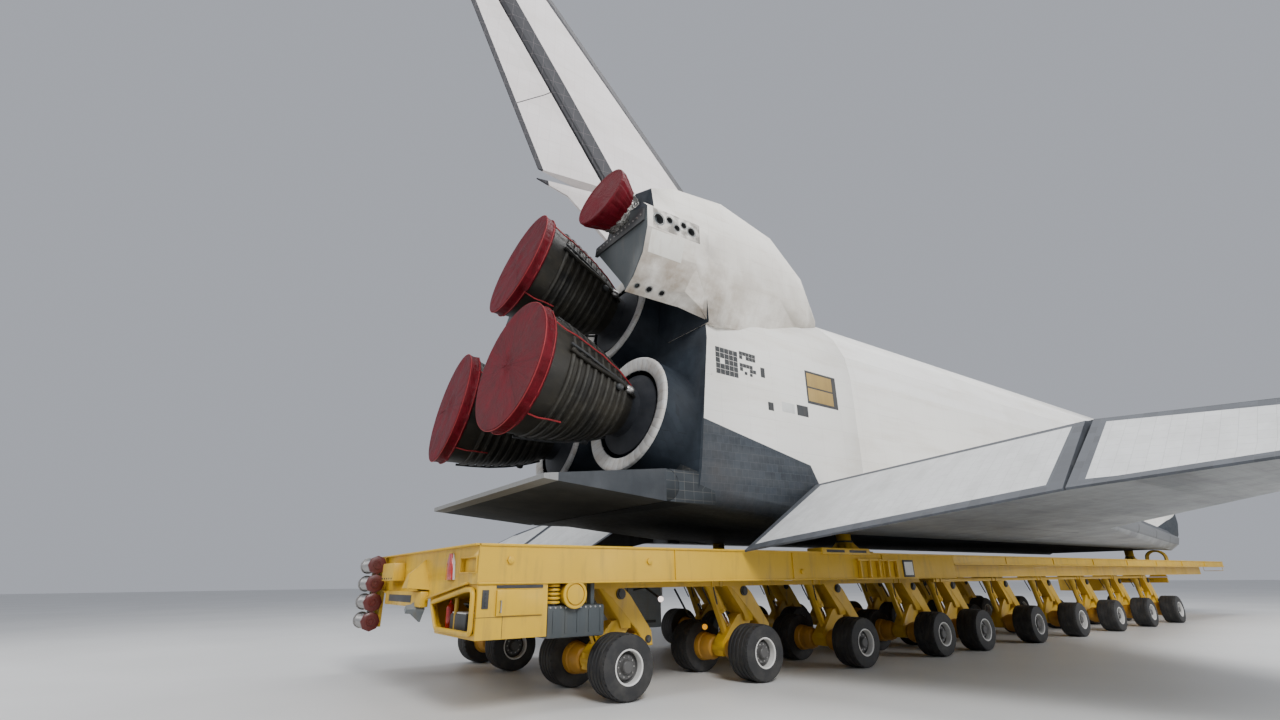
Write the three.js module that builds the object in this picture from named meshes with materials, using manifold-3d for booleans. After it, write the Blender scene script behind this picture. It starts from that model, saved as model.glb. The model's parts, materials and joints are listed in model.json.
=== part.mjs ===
// A winged space shuttle orbiter, gear up, standing on its multi-wheel transporter.
// Units are millimetres, +X is forward, +Y is port and +Z is up, with the floor at Z 0.
// The orbiter's own shapes are given in inches at its stations: xo aft, y to port, zo up.
import * as THREE from "three";
import { mergeVertices } from "three/addons/utils/BufferGeometryUtils.js";
import Module from "manifold-3d";

const wasm = await Module();
wasm.setup();

const INCH = 25.4;
const CENTRE_XO = 970; // the station above the origin
const FLOOR_ZO = 167; // the waterline of the floor
const GAP = 0.3; // between touching pieces
const GAP_IN = 0.02; // the same on a lofted skin, in inches
const PORT = 1;
const STARBOARD = -1;
const SIDES = [[PORT, "port"], [STARBOARD, "starboard"]];
const RAD = Math.PI / 180;

// The fuselage's cross-sections, in inches. half: half width, bottom: belly height, flat: half width of
// the flat belly, low and high: ends of the upright side, top: height of the crown.
const FUSELAGE = [
  // xo, half, bottom, flat, low, high, top
  [238, 2, 338, 1, 340, 341, 343],
  [241, 13, 328, 4, 339, 342, 353],
  [248, 22, 314, 6, 337, 342, 362],
  [262, 30, 305, 8, 336, 342, 368],
  [285, 46, 294, 18, 332, 343, 383],
  [320, 62, 285, 30, 325, 344, 398],
  [365, 77, 278, 46, 318, 346, 415],
  [405, 87, 274, 58, 313, 350, 430],
  [455, 96, 271, 68, 308, 358, 484],
  [500, 102, 269, 76, 303, 375, 498],
  [578, 105, 268, 84, 297, 408, 500],
  [1307, 105, 267, 88, 292, 408, 500],
  [1400, 107, 271, 92, 297, 408, 500],
  [1500, 110, 281, 98, 307, 408, 500],
].map(([xo, half, bottom, flat, low, high, top]) => ({ xo, half, bottom, flat, low, high, top }));
const LOWER_STEPS = 3;
const UPPER_STEPS = 6;
const JOINTS_XO = { cap: 262, cabin: 578, bay: 1307, base: 1500 };
const BASE_LEAN = 0.11; // the base's top lies forward of its bottom, inches per inch
const BASE_LEVEL = 325;

const CABIN = { front: 395, back: 566, wall: 5.5, floor: 297, deck: 384, deckThick: 3 };
const GLAZING = { front: 404, back: 508, low: 394, high: 520, thick: 1 };
// Window panes on the upper skin: stations and the angle round the crown, 0 at the side, 90 on top
const PANES = [
  { front: 413, back: 448, from: 73, to: 88 },
  { front: 415, back: 450, from: 52, to: 70 },
  { front: 419, back: 452, from: 31, to: 49 },
  { front: 474, back: 496, from: 70, to: 86 },
];
const HATCH = { xo: 478, zo: 345, radius: 20, lip: 2, thick: 3.5, clear: 0.45 };

const BAY = { front: 584, back: 1301, radius: 93, zo: 400, hinge: 408, thick: 5, seam: 0.12, end: 0.3 };

const HINGE_XO = 1387;
const WING = [
  // y, lead, leadZo, topXo, topZo, hingeTopZo, bottomZo
  [90, 433, 288, 900, 320, 300, 267.1],
  [105, 517, 286, 950, 320, 300.9, 268],
  [199, 1038, 287, 1190, 317, 306.5, 273.8],
  [312, 1151, 294, 1250, 319, 313.1, 280.7],
  [468, 1307, 295, 1345, 302.5, 300.4, 290.2],
].map(([y, lead, leadZo, topXo, topZo, hingeTopZo, bottomZo]) =>
  ({ y, lead, leadZo, topXo, topZo, hingeTopZo, bottomZo }));
const WING_TAIL_XO = 1402;
const DROOP = 19; // elevons hang this far below neutral at rest, degrees
const NOSE_STEPS = 8;
const ELEVONS = [
  {
    name: "inboard",
    inner: { y: 120.5, zo: 285.4, radius: 16.35, chord: 98 },
    outer: { y: 310.5, zo: 296.8, radius: 16.1, chord: 70 },
  },
  {
    name: "outboard",
    inner: { y: 313.5, zo: 296.9, radius: 16, chord: 69.5 },
    outer: { y: 466, zo: 295.4, radius: 5, chord: 48 },
  },
];
const ELEVON_EDGE = 0.6; // half thickness of the trailing edge
const ELEVON_SET = -0.3; // height of the trailing edge at neutral, in nose radii
const LIP_TOP = 0.34; // the wing's lips end ahead of the hinge, in nose radii
const LIP_BOTTOM = 0.25;

const FLAP = { hinge: 1532, zo: 292, radius: 11, half: 107, chord: 91.6, edgeZo: 290.5, edge: 1.5 };
const FLAP_STUB = { front: 1488, bottom: 281, top: 303 };

// The fin's level sections. lead and rear: its ends, crest: where it is thickest, half: half thickness
// there, tail: half thickness at the rear end.
const FIN = [
  // zo, lead, rear, crest, half, tail
  [484, 1310, 1462, 1400, 11, 2],
  [503, 1310.5, 1470, 1410, 11, 2],
  [545, 1321, 1520, 1440, 11, 2],
  [576, 1352, 1560, 1470, 10.8, 1],
  [583, 1359, 1593, 1476, 10.7, 0.8],
  [590, 1366, 1508.7, 1486.9, 10.6, 6.5],
  [803, 1577.6, 1660.8, 1655.9, 7, 6.4],
  [806, 1580.6, 1695, 1660, 7, 0.8],
  [819, 1593.6, 1702, 1664, 6, 0.6],
].map(([zo, lead, rear, crest, half, tail]) => ({ zo, lead, rear, crest, half, tail }));
const RUDDER = {
  bottom: 594, top: 800, axisXo: 1521.8, axisZo: 608.4, rake: 0.7146, tube: 6.5, tubeSides: 12,
  skinSet: 13.5, halfBottom: 9.6, halfTop: 6.4, edge: 0.6, tailXo: 1589.5, tailZo: 589, tailRake: 0.489,
};

// Pod sections: in and out: sides, low and top: heights
const POD = [
  // xo, in, out, low, top
  [1311, 44, 76, 462, 487],
  [1350, 26, 98, 446, 512],
  [1410, 16, 118, 432, 531],
  [1480, 47.5, 128, 420, 536],
  [1530, 49, 128, 425, 530],
  [1552, 50, 127.5, 430, 521],
].map(([xo, inner, outer, low, top]) => ({ xo, inner, outer, low, top }));
// The pod's outline across its width and height
const POD_OUTLINE = [
  [0, 0.1], [0.15, 0], [0.8, 0], [0.97, 0.33], [1, 0.66], [0.95, 0.92], [0.68, 1], [0.22, 0.92], [0, 0.6],
];
// The thruster housing at the pod's outer rear corner: y and zo round it, and its size at each station
const HOUSING = [
  [107, 498.5], [125, 497], [130.5, 491], [130.5, 474], [124, 455], [112, 441], [100, 433], [100, 470],
];
const HOUSING_MIDDLE = { y: 115, zo: 468 };
const HOUSING_ENDS = [{ xo: 1500, scale: 0.83 }, { xo: 1512, scale: 1 }, { xo: 1561, scale: 1 }];
// Behind the base the pod is cut away below this line, beside the upper engine
const UNDERCUT = [
  { xo: 1490, line: [[51, 492], [96, 439], [110, 424], [140, 404]] },
  { xo: 1512, line: [[51, 492], [99, 437.5], [112, 445], [140, 475]] },
  { xo: 1570, line: [[51, 492], [99, 437.5], [112, 445], [140, 475]] },
];
const UNDERCUT_EDGE = { inner: 8, outer: 140, low: 380, top: 492 };

// Main engines: the gimbal point, and how far the bell leans up and out
const ENGINES = [
  { name: "upper", xo: 1445, y: 0, zo: 443, up: 16, out: 0 },
  { name: "port", xo: 1468.2, y: 53, zo: 342.6, up: 10, out: 3.5 },
  { name: "starboard", xo: 1468.2, y: -53, zo: 342.6, up: 10, out: -3.5 },
];
const ENGINE_SIDES = 18;
// Profiles of the engine about its axis: distance aft of the gimbal, radius
const BALL = 4;
const BALL_STEP = 45; // degrees between the ball's rows; the socket's rows lie half a step off
const SHIELD = { inner: 67.6, outer: 69.6, radius: 32.5 };
const BELL = [[74, 20.5], [90, 28.6], [110, 35.5], [130, 40.3], [150, 43.8], [167, 46]];
const BELL_WALL = 1.6;
const WELL = [[14, 22], [44, 34], [50.5, 45], [60.6, 45], [60.6, 36.2], [66, 36.2]];
const BASE_RING = [[10, 47], [63, 47], [64.7, 45.8], [61.4, 30]]; // before the well opens its middle
const COVER = { start: 158, end: 168.6, slack: 0.35, thick: 1.2 };

const OMS = { xo: 1518, y: 88, zo: 492, exitXo: 1578, exitY: 94, exitZo: 512, seat: 27, recess: 12 };
const OMS_BELL = [[36, 8], [42, 13], [52, 19.5], [64, 24.2]];
const OMS_COVER = [
  [64 + GAP_IN, 0], [64 + GAP_IN, 24.6], [52, 19.9], [48, 17.4], [48, 18.6], [64.5, 26.2], [65.8, 25.4],
  [65.8, 0],
];

// Transporter, millimetres
const DECK = { top: 2110, thick: 50, half: 3050, rear: -17640, step: -6100, front: 15300 };
const GIRDER = { width: 300, deep: 1600, shallow: 1890 };
const SPINE = { half: 600, deep: 1640, shallow: 1720 };
// The plate across the rear end: half its outline, y and z, and a shallow recess to starboard
const END_PLATE = {
  thick: 80, half: [[0, 1390.3], [1060, 1390.3], [2750, 1600], [3050, 1600], [3050, 2109], [0, 2109]],
};
const END_RECESS = { inner: 2390, outer: 2970, low: 1760, high: 1930, deep: 50 };
const RAIL = { inner: 2160, outer: 2260, low: 1510, high: 1590, ahead: 100, back: -15900, end: -6350 };
const INSET_BEAM = { inner: 2350, outer: 2500, low: 1610, back: -5900, front: 14200 };
const DRUM = { x: -16200, z: 1450, radius: 165, inner: 2300, outer: 3040, sides: 16 };
const TANK = { back: -16600, front: -15780, inner: 2250, outer: 2950, low: 900, high: 1270, edge: 60 };
const TANK_HANGER = { half: 30, inset: 50, inner: 2790, outer: 2910 };
const STATIONS_REAR = [-15270, -12500, -9750, -6950];
const STATIONS_FRONT = [-5190, -2450, 200, 2950, 5700, 8450];
const BOGIE_Y = 2000;
const TYRE = { radius: 450, sides: 12, inner: 550, outer: 1050, rim: 235, hub: 190, dish: 850 };
const AXLE = { radius: 60, slack: 0.4, boreSides: 8 };
const TURNTABLE = { radius: 330, bottom: 1760, ahead: 260, sides: 8 };
// Arm outlines seen from the side, relative to the axle, forward and up from the floor
const UPPER_ARM = [
  [-550, 1800], [100, 1800], [220, 1700], [600, 1020], [600, 900], [420, 900], [380, 1020], [-20, 1520],
  [-550, 1550],
];
const LOWER_ARM = [[500, 1040], [600, 900], [150, 330], [-130, 330], [-130, 570], [270, 1010]];
const UPPER_ARM_HALF = 180;
const LOWER_ARM_HALF = 120;
const RAM = { radius: 65, sides: 6, from: [-330, 1600], to: [60, 640] };

const CAB = { length: 1000, bottom: 930, top: 1599.7, wall: 45, overhang: 20 };
// The cab seen from its open end, y and z: its outside, its room and the opening
const CAB_SHELL = [[3045, 930], [1410, 930], [1060, 1350], [1060, 1390], [2750, 1599.7], [3045, 1599.7]];
const CAB_ROOM = [[3000, 975], [1434, 975], [1106, 1366], [2744, 1554], [3000, 1554]];
const CAB_OPENING = [[2930, 1060], [1500, 1060], [1260, 1350], [2700, 1510], [2930, 1510]];
const SEAT = { y: 2120, halfLength: 220, halfWidth: 230, height: 300, back: 480, backThick: 80 };
// What holds the front cab under the shallow girder
const HANGER = { back: 900, front: 150, inner: 2760, outer: 3000 };
const SUPPORT = { plateThick: 60, tall: 900, sides: 16 }; // each post is cut off at the belly
const SUPPORT_AFT = { x: -8810, y: 2100, radius: 160, plate: 420 };
const SUPPORT_FORWARD = { x: 14780, radius: 170, plate: 450 };
const POWER = { x0: -14600, x1: -12950, half: 720, bottom: 760 };
// Reels one above another on the rear end: each is a barrel with a wide disc at its inner end
const REELS = {
  x: -17850, z: 960, pitch: 330, count: 4, barrel: 110, disc: 160, thick: 60, start: 1700, end: 2500,
};
const REEL_PLATE = { back: -17700, inner: 1800, outer: 2450, low: 860, high: 2100 };
const REEL_WEB = { inner: 2060, outer: 2120 };

// Colour, roughness and metalness of each finish
const FINISHES = {
  whiteTile: [0xe8e6df, 0.75, 0], blackTile: [0x2a2d33, 0.8, 0], greyWing: [0x8e9196, 0.75, 0],
  carbon: [0x55585c, 0.6, 0.1], glass: [0x11161c, 0.1, 0], interior: [0x8f958f, 0.7, 0],
  bell: [0x35312e, 0.5, 0.7], coverRed: [0x8e1a24, 0.55, 0], yellow: [0xe0a21a, 0.5, 0.1],
  tyre: [0x1c1c1e, 0.9, 0], greyPaint: [0x6d7479, 0.5, 0.2], reelRed: [0x6b1d1b, 0.5, 0.2],
};
const MATERIALS = Object.fromEntries(
  Object.entries(FINISHES).map(([name, [color, roughness, metalness]]) =>
    [name, new THREE.MeshStandardMaterial({ color, roughness, metalness })]));

const shuttle = new THREE.Group();

function place(xo, y, zo) {
  return new THREE.Vector3((CENTRE_XO - xo) * INCH, y * INCH, (zo - FLOOR_ZO) * INCH);
}

// A closed geometry as a solid that can be joined and cut
function solid(geometry) {
  const flat = geometry.index ? geometry.toNonIndexed() : geometry;
  const bare = new THREE.BufferGeometry().setAttribute("position", flat.getAttribute("position"));
  const merged = mergeVertices(bare, 1e-3);
  const corners = merged.index.array;
  const triangles = [];
  for (let i = 0; i < corners.length; i += 3) {
    const [a, b, c] = [corners[i], corners[i + 1], corners[i + 2]];
    if (a !== b && b !== c && c !== a) triangles.push(a, b, c);
  }
  const vertProperties = merged.attributes.position.array;
  const make = (list) =>
    new wasm.Manifold(new wasm.Mesh({ numProp: 3, vertProperties, triVerts: new Uint32Array(list) }));
  const made = make(triangles);
  return made.volume() > 0 ? made : make(triangles.reverse());
}

function add(name, finish, made) {
  const mesh = made.getMesh();
  const geometry = new THREE.BufferGeometry();
  geometry.setAttribute("position", new THREE.BufferAttribute(mesh.vertProperties, 3));
  geometry.setIndex(new THREE.BufferAttribute(mesh.triVerts, 1));
  geometry.computeVertexNormals();
  const piece = new THREE.Mesh(geometry, MATERIALS[finish]);
  piece.name = name;
  shuttle.add(piece);
}

const join = (...pieces) => pieces.reduce((all, piece) => all.add(piece));
const cut = (body, ...pieces) => pieces.reduce((left, piece) => left.subtract(piece), body);

// The triangles of a flat ring of points, in order round it
function capOf(ring) {
  const normal = new THREE.Vector3();
  ring.forEach((p, i) => {
    const q = ring[(i + 1) % ring.length];
    normal.x += (p.y - q.y) * (p.z + q.z);
    normal.y += (p.z - q.z) * (p.x + q.x);
    normal.z += (p.x - q.x) * (p.y + q.y);
  });
  const size = [Math.abs(normal.x), Math.abs(normal.y), Math.abs(normal.z)];
  const drop = size.indexOf(Math.max(...size));
  const keep = [["y", "z"], ["z", "x"], ["x", "y"]][drop];
  const turned = normal.getComponent(drop) < 0;
  const flat = ring.map((p) => new THREE.Vector2(p[keep[0]], p[keep[1]]));
  const order = ring.map((_, i) => i);
  if (turned) {
    flat.reverse();
    order.reverse();
  }
  return THREE.ShapeUtils.triangulateShape(flat, [])
    .map(([a, b, c]) => [order[a], order[b], order[c]])
    .map(([a, b, c]) => (turned ? [a, c, b] : [a, b, c]));
}

// A solid skinned over rings that hold the same number of points
function loft(rings) {
  const count = rings[0].length;
  const index = [];
  for (let i = 0; i + 1 < rings.length; i++)
    for (let j = 0; j < count; j++) {
      const a = i * count + j;
      const b = i * count + ((j + 1) % count);
      index.push(a, b, b + count, a, b + count, a + count);
    }
  const last = (rings.length - 1) * count;
  capOf(rings[0]).forEach(([a, b, c]) => index.push(a, c, b));
  capOf(rings[rings.length - 1]).forEach(([a, b, c]) => index.push(last + a, last + b, last + c));
  const geometry = new THREE.BufferGeometry().setFromPoints(rings.flat());
  return solid(geometry.setIndex(index));
}

function box(x0, x1, y0, y1, z0, z1) {
  const geometry = new THREE.BoxGeometry(Math.abs(x1 - x0), Math.abs(y1 - y0), Math.abs(z1 - z0));
  geometry.translate((x0 + x1) / 2, (y0 + y1) / 2, (z0 + z1) / 2);
  return solid(geometry);
}

// The same, in the orbiter's stations
function stationBox(front, back, y0, y1, low, high) {
  const a = place(front, y0, low);
  const b = place(back, y1, high);
  return box(a.x, b.x, a.y, b.y, a.z, b.z);
}

// A turned solid: profile rows are [distance along the axis, radius], from the axis back to the axis
function turned(profile, origin, direction, sides, phase = 0) {
  const rows = profile.map(([along, r]) => new THREE.Vector2(r, along));
  const geometry = new THREE.LatheGeometry(rows, sides, phase);
  const along = direction.clone().normalize();
  const helper = Math.abs(along.z) > 0.9 ? new THREE.Vector3(1, 0, 0) : new THREE.Vector3(0, 0, 1);
  const up = helper.addScaledVector(along, -helper.dot(along)).normalize();
  const side = new THREE.Vector3().crossVectors(along, up);
  const frame = new THREE.Matrix4().makeBasis(side, along, up).setPosition(origin);
  return solid(geometry.applyMatrix4(frame));
}

function rod(from, to, radius, sides, phase = 0) {
  const length = from.distanceTo(to);
  const profile = [[0, 0], [0, radius], [length, radius], [length, 0]];
  return turned(profile, from, to.clone().sub(from), sides, phase);
}

// A plate whose outline is drawn in X and Z, between two Y values
function plate(outline, y0, y1) {
  const shape = new THREE.Shape(outline.map(([x, z]) => new THREE.Vector2(x, z)));
  const geometry = new THREE.ExtrudeGeometry(shape, { depth: Math.abs(y1 - y0), bevelEnabled: false });
  const frame = new THREE.Matrix4().makeBasis(
    new THREE.Vector3(1, 0, 0), new THREE.Vector3(0, 0, 1), new THREE.Vector3(0, -1, 0));
  return solid(geometry.applyMatrix4(frame.setPosition(0, Math.max(y0, y1), 0)));
}

// The same for an outline drawn in Y and Z, turned to one side, between two X values
function slice(outline, x0, x1, side) {
  return loft([x0, x1].map((x) => outline.map(([y, z]) => new THREE.Vector3(x, y * side, z))));
}

// Fuselage

function sectionAt(xo) {
  const next = Math.max(1, FUSELAGE.findIndex((row) => row.xo >= xo));
  const [a, b] = [FUSELAGE[next - 1], FUSELAGE[next]];
  const share = (xo - a.xo) / (b.xo - a.xo);
  const mixed = Object.fromEntries(Object.keys(a).map((key) => [key, a[key] + share * (b[key] - a[key])]));
  return { ...mixed, xo };
}

// A point of the crown, at an angle from the side
function crownPoint(section, degrees, grow = 0) {
  const half = (section.half + grow) * Math.cos(degrees * RAD);
  const rise = (section.top + grow - section.high) * Math.sin(degrees * RAD);
  return place(section.xo, half, section.high + rise);
}

function fuselageRing(section, grow = 0, lean = 0) {
  const half = section.half + grow;
  const flat = section.flat + grow * 0.5;
  const right = [];
  for (let i = 0; i <= LOWER_STEPS; i++) {
    const turn = (90 * i * RAD) / LOWER_STEPS;
    const drop = (section.low - section.bottom + grow) * Math.cos(turn);
    right.push([flat + (half - flat) * Math.sin(turn), section.low - drop]);
  }
  for (let i = 0; i <= UPPER_STEPS; i++) {
    const turn = (90 * i * RAD) / UPPER_STEPS;
    right.push([half * Math.cos(turn), section.high + (section.top + grow - section.high) * Math.sin(turn)]);
  }
  const left = right.slice(0, -1).reverse().map(([y, zo]) => [-y, zo]);
  return [...right, ...left].map(([y, zo]) => place(section.xo - lean * (zo - BASE_LEVEL), y, zo));
}

function fuselage(front, back, grow = 0, lean = 0) {
  const between = FUSELAGE.filter((row) => row.xo > front + 0.5 && row.xo < back - 0.5);
  const rings = [sectionAt(front), ...between].map((row) => fuselageRing(row, grow));
  const last = sectionAt(back);
  const set = lean ? grow : 0; // a grown base also moves aft
  return loft([...rings, fuselageRing({ ...last, xo: last.xo + set }, grow, lean)]);
}

const GAP_SPLIT = GAP / INCH / 2;
const skinCutter = fuselage(FUSELAGE[0].xo, JOINTS_XO.base, GAP_IN, BASE_LEAN);

add("nose_cap", "carbon", fuselage(FUSELAGE[0].xo, JOINTS_XO.cap - GAP_SPLIT));

function paneCutter({ front, back, from, to }, side) {
  const corners = [[front, from], [front, to], [back, to], [back, from]]
    .map(([xo, degrees]) => crownPoint(sectionAt(xo), degrees));
  corners.forEach((corner) => corner.setY(corner.y * side));
  const across = new THREE.Vector3().subVectors(corners[2], corners[0]);
  const other = new THREE.Vector3().subVectors(corners[3], corners[1]);
  const normal = across.cross(other).normalize();
  const reach = 2 * CABIN.wall * INCH;
  const at = (distance) => corners.map((corner) => corner.clone().addScaledVector(normal, distance));
  return loft([at(-reach), at(reach)]);
}

function hatchFrame() {
  const [front, back] = [sectionAt(HATCH.xo - 5), sectionAt(HATCH.xo + 5)];
  const centre = sectionAt(HATCH.xo);
  const along = place(back.xo, back.half, 0).sub(place(front.xo, front.half, 0)).normalize();
  const out = new THREE.Vector3(-along.y, along.x, 0).multiplyScalar(along.x < 0 ? -1 : 1);
  return { origin: place(HATCH.xo, centre.half, HATCH.zo), along, out };
}

function hatchDisc(radius, depth, outside) {
  const { origin, out } = hatchFrame();
  const from = origin.clone().addScaledVector(out, -depth * INCH);
  const to = origin.clone().addScaledVector(out, outside * INCH);
  return rod(from, to, radius * INCH, 24);
}

function forwardFuselage() {
  const outer = fuselage(JOINTS_XO.cap + GAP_SPLIT, JOINTS_XO.cabin - GAP_SPLIT);
  const room = cabinRoom(CABIN.wall);
  const panes = SIDES.flatMap(([side]) => PANES.map((pane) => paneCutter(pane, side)));
  const hatchHole = hatchDisc(HATCH.radius + HATCH.clear, HATCH.thick + GAP_IN, 10);
  const hatchLip = hatchDisc(HATCH.radius - HATCH.lip, 4 * CABIN.wall, 10);
  return cut(outer, room, ...panes, hatchHole, hatchLip);
}

// The pressurised room inside the cabin's wall
function cabinRoom(wall) {
  const room = fuselage(CABIN.front, CABIN.back, -wall);
  const under = stationBox(CABIN.front - 9, CABIN.back + 9, -150, 150, 200, CABIN.floor);
  return cut(room, under);
}

function flightDeck() {
  const slab = stationBox(300, 600, -150, 150, CABIN.deck, CABIN.deck + CABIN.deckThick);
  const fitted = cabinRoom(CABIN.wall + GAP_IN).intersect(slab);
  const top = CABIN.deck + CABIN.deckThick;
  const panel = stationBox(428, 434, -46, 46, top - 1, top + 24);
  const aftPanel = stationBox(545, 552, -50, 50, top - 1, top + 34);
  const ladderway = stationBox(515, 535, 40, 62, CABIN.deck - 5, top + 5);
  const seats = [];
  for (const [xo, y] of [[462, 24], [462, -24], [505, 18], [505, -22]]) {
    seats.push(stationBox(xo - 10, xo + 10, y - 10, y + 10, top - 1, top + 14));
    seats.push(stationBox(xo + 8, xo + 13, y - 10, y + 10, top - 1, top + 44));
  }
  return cut(join(fitted, panel, aftPanel, ...seats), ladderway);
}

function glazing() {
  const outer = cabinRoom(CABIN.wall + GAP_IN);
  const inner = cabinRoom(CABIN.wall + GAP_IN + GLAZING.thick);
  const band = stationBox(GLAZING.front, GLAZING.back, -150, 150, GLAZING.low, GLAZING.high);
  return cut(outer, inner).intersect(band);
}

add("forward_fuselage", "whiteTile", forwardFuselage());
add("flight_deck", "interior", flightDeck());
add("window_glass", "glass", glazing());
add("crew_hatch", "whiteTile", hatchDisc(HATCH.radius, HATCH.thick, 0));

function midFuselage() {
  const outer = fuselage(JOINTS_XO.cabin + GAP_SPLIT, JOINTS_XO.bay - GAP_SPLIT);
  const sill = BAY.hinge - GAP_SPLIT;
  const trough = rod(place(BAY.front, 0, BAY.zo), place(BAY.back, 0, BAY.zo), BAY.radius * INCH, 28);
  const above = stationBox(500, 1400, -150, 150, sill, 600);
  return cut(outer, trough, above);
}

// Half of the bay's roof: the crown's own section, as thick as the door
function bayDoor(side) {
  const section = sectionAt(BAY.front);
  const outline = [];
  for (let i = 0; i <= UPPER_STEPS; i++) outline.push([(90 * i) / UPPER_STEPS, 0]);
  for (let i = UPPER_STEPS; i >= 0; i--) outline.push([(90 * i) / UPPER_STEPS, -BAY.thick]);
  const ring = (xo) =>
    outline.map(([degrees, grow]) => {
      const point = crownPoint({ ...section, xo, half: 105, high: BAY.hinge, top: 500 }, degrees, grow);
      point.y = Math.max(point.y, (BAY.seam / 2) * INCH) * side;
      point.z += GAP / 2;
      return point;
    });
  return loft([ring(JOINTS_XO.cabin + BAY.end), ring(JOINTS_XO.bay - BAY.end)]);
}

add("mid_fuselage", "whiteTile", midFuselage());
for (const [side, name] of SIDES) add("bay_door_" + name, "whiteTile", bayDoor(side));

function engineFrame({ xo, y, zo, up, out }) {
  const direction = new THREE.Vector3(
    -Math.cos(up * RAD) * Math.cos(out * RAD), Math.sin(out * RAD), Math.sin(up * RAD) * Math.cos(out * RAD));
  return { origin: place(xo, y, zo), direction };
}

function engineTurned(engine, profile, phase = 0) {
  const { origin, direction } = engineFrame(engine);
  return turned(profile.map(([d, r]) => [d * INCH, r * INCH]), origin, direction, ENGINE_SIDES, phase);
}

// Distance along the axis at which a sphere about the gimbal has a radius
const onSphere = (sphere, radius) => [Math.sqrt(sphere ** 2 - radius ** 2), radius];

// A turned solid's profile closed to the axis at both ends
const closed = (profile) => [[profile[0][0], 0], ...profile, [profile[profile.length - 1][0], 0]];

// The socket's flats lie round the sphere that the ball's corners turn in
function engineWell(engine) {
  const half = BALL_STEP / 2;
  const reach = (BALL + GAP_IN) / (Math.cos(half * RAD) * Math.cos(Math.PI / ENGINE_SIDES));
  const socket = [1, 3, 5].map((steps) =>
    [-reach * Math.cos(steps * half * RAD), reach * Math.sin(steps * half * RAD)]);
  return engineTurned(engine, closed([...socket, ...WELL]), Math.PI / ENGINE_SIDES);
}

// The half-round nose and flat tail of a hinged surface, seen along its hinge.
// Rows are [distance aft of the hinge, height], before the surface is turned down by droop.
function surfaceOutline(radius, chord, edgeHeight, edge, droop) {
  const rows = [];
  for (let i = 0; i <= NOSE_STEPS; i++) {
    const turn = (90 + (180 * i) / NOSE_STEPS) * RAD;
    rows.push([radius * Math.cos(turn), radius * Math.sin(turn)]);
  }
  rows.push([chord, edgeHeight - edge], [chord, edgeHeight + edge]);
  const [c, s] = [Math.cos(droop * RAD), Math.sin(droop * RAD)];
  return rows.map(([aft, height]) => [aft * c + height * s, height * c - aft * s]);
}

// A ring of such rows at one end of a hinge, square to it. The hinge leans up by tilt to port.
function hingeRing(rows, end, xo, tilt) {
  return rows.map(([aft, height]) =>
    place(xo + aft, end.y - height * Math.sin(tilt), end.zo + height * Math.cos(tilt)));
}

// What a wing or stub loses for a surface: a round cove, and everything aft of its two lips
function coveCutter(ends, xo, tilt, droop, lipTop, lipBottom) {
  const steps = 2 * NOSE_STEPS;
  const half = 180 / steps;
  const round = ends.map((end) => {
    const corner = (end.radius + GAP_IN) / Math.cos(half * RAD);
    const rows = [];
    for (let i = 0; i < steps; i++) {
      const turn = (90 + half + (360 * i) / steps - droop) * RAD;
      rows.push([corner * Math.cos(turn), corner * Math.sin(turn)]);
    }
    return hingeRing(rows, end, xo, tilt);
  });
  const rear = ends.map((end) => {
    const far = 4 * end.radius + 20;
    const [top, bottom] = [-lipTop * end.radius, -lipBottom * end.radius];
    const rows = [[top, far], [top, 0], [bottom, 0], [bottom, -far], [200, -far], [200, far]];
    return hingeRing(rows, end, xo, tilt);
  });
  return join(loft(round), loft(rear));
}

function aftFuselage() {
  const outer = fuselage(JOINTS_XO.bay + GAP_SPLIT, JOINTS_XO.base, 0, BASE_LEAN);
  const { front, bottom, top } = FLAP_STUB;
  const stub = stationBox(front, FLAP.hinge, -FLAP.half, FLAP.half, bottom, top);
  const ends = [-1, 1].map((side) => ({ y: side * (FLAP.half + 2), zo: FLAP.zo, radius: FLAP.radius }));
  const cove = coveCutter(ends, FLAP.hinge, 0, 0, 0.14, 0.22);
  const rings = ENGINES.map((engine) => engineTurned(engine, closed(BASE_RING)));
  return cut(join(cut(join(outer, stub), cove), ...rings), ...ENGINES.map(engineWell));
}

function bodyFlap() {
  const outline = surfaceOutline(FLAP.radius, FLAP.chord, FLAP.edgeZo - FLAP.zo, FLAP.edge, 0);
  return loft([-1, 1].map((side) => hingeRing(outline, { y: side * FLAP.half, zo: FLAP.zo }, FLAP.hinge, 0)));
}

add("aft_fuselage", "whiteTile", aftFuselage());
add("body_flap", "blackTile", bodyFlap());

// Wings and elevons

function mirrored(rings, side) {
  return rings.map((ring) => ring.map((p) => new THREE.Vector3(p.x, p.y * side, p.z)));
}

function wingRing({ y, lead, leadZo, topXo, topZo, hingeTopZo, bottomZo }) {
  const depth = leadZo - bottomZo;
  const rise = topZo - leadZo;
  const chord = HINGE_XO - lead;
  const rows = [
    [lead, leadZo],
    [lead + 0.012 * chord, leadZo - 0.5 * depth],
    [lead + 0.06 * chord, bottomZo],
    [WING_TAIL_XO, bottomZo],
    [WING_TAIL_XO, hingeTopZo],
    [topXo + 0.4 * (HINGE_XO - topXo), topZo - 0.22 * (topZo - hingeTopZo)],
    [topXo, topZo],
    [lead + 0.3 * (topXo - lead), leadZo + 0.62 * rise],
    [lead + 0.06 * (topXo - lead), leadZo + 0.28 * rise],
  ];
  return rows.map(([xo, zo]) => place(xo, y, zo));
}

const elevonTilt = ({ inner, outer }) => Math.atan2(outer.zo - inner.zo, outer.y - inner.y);

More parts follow.
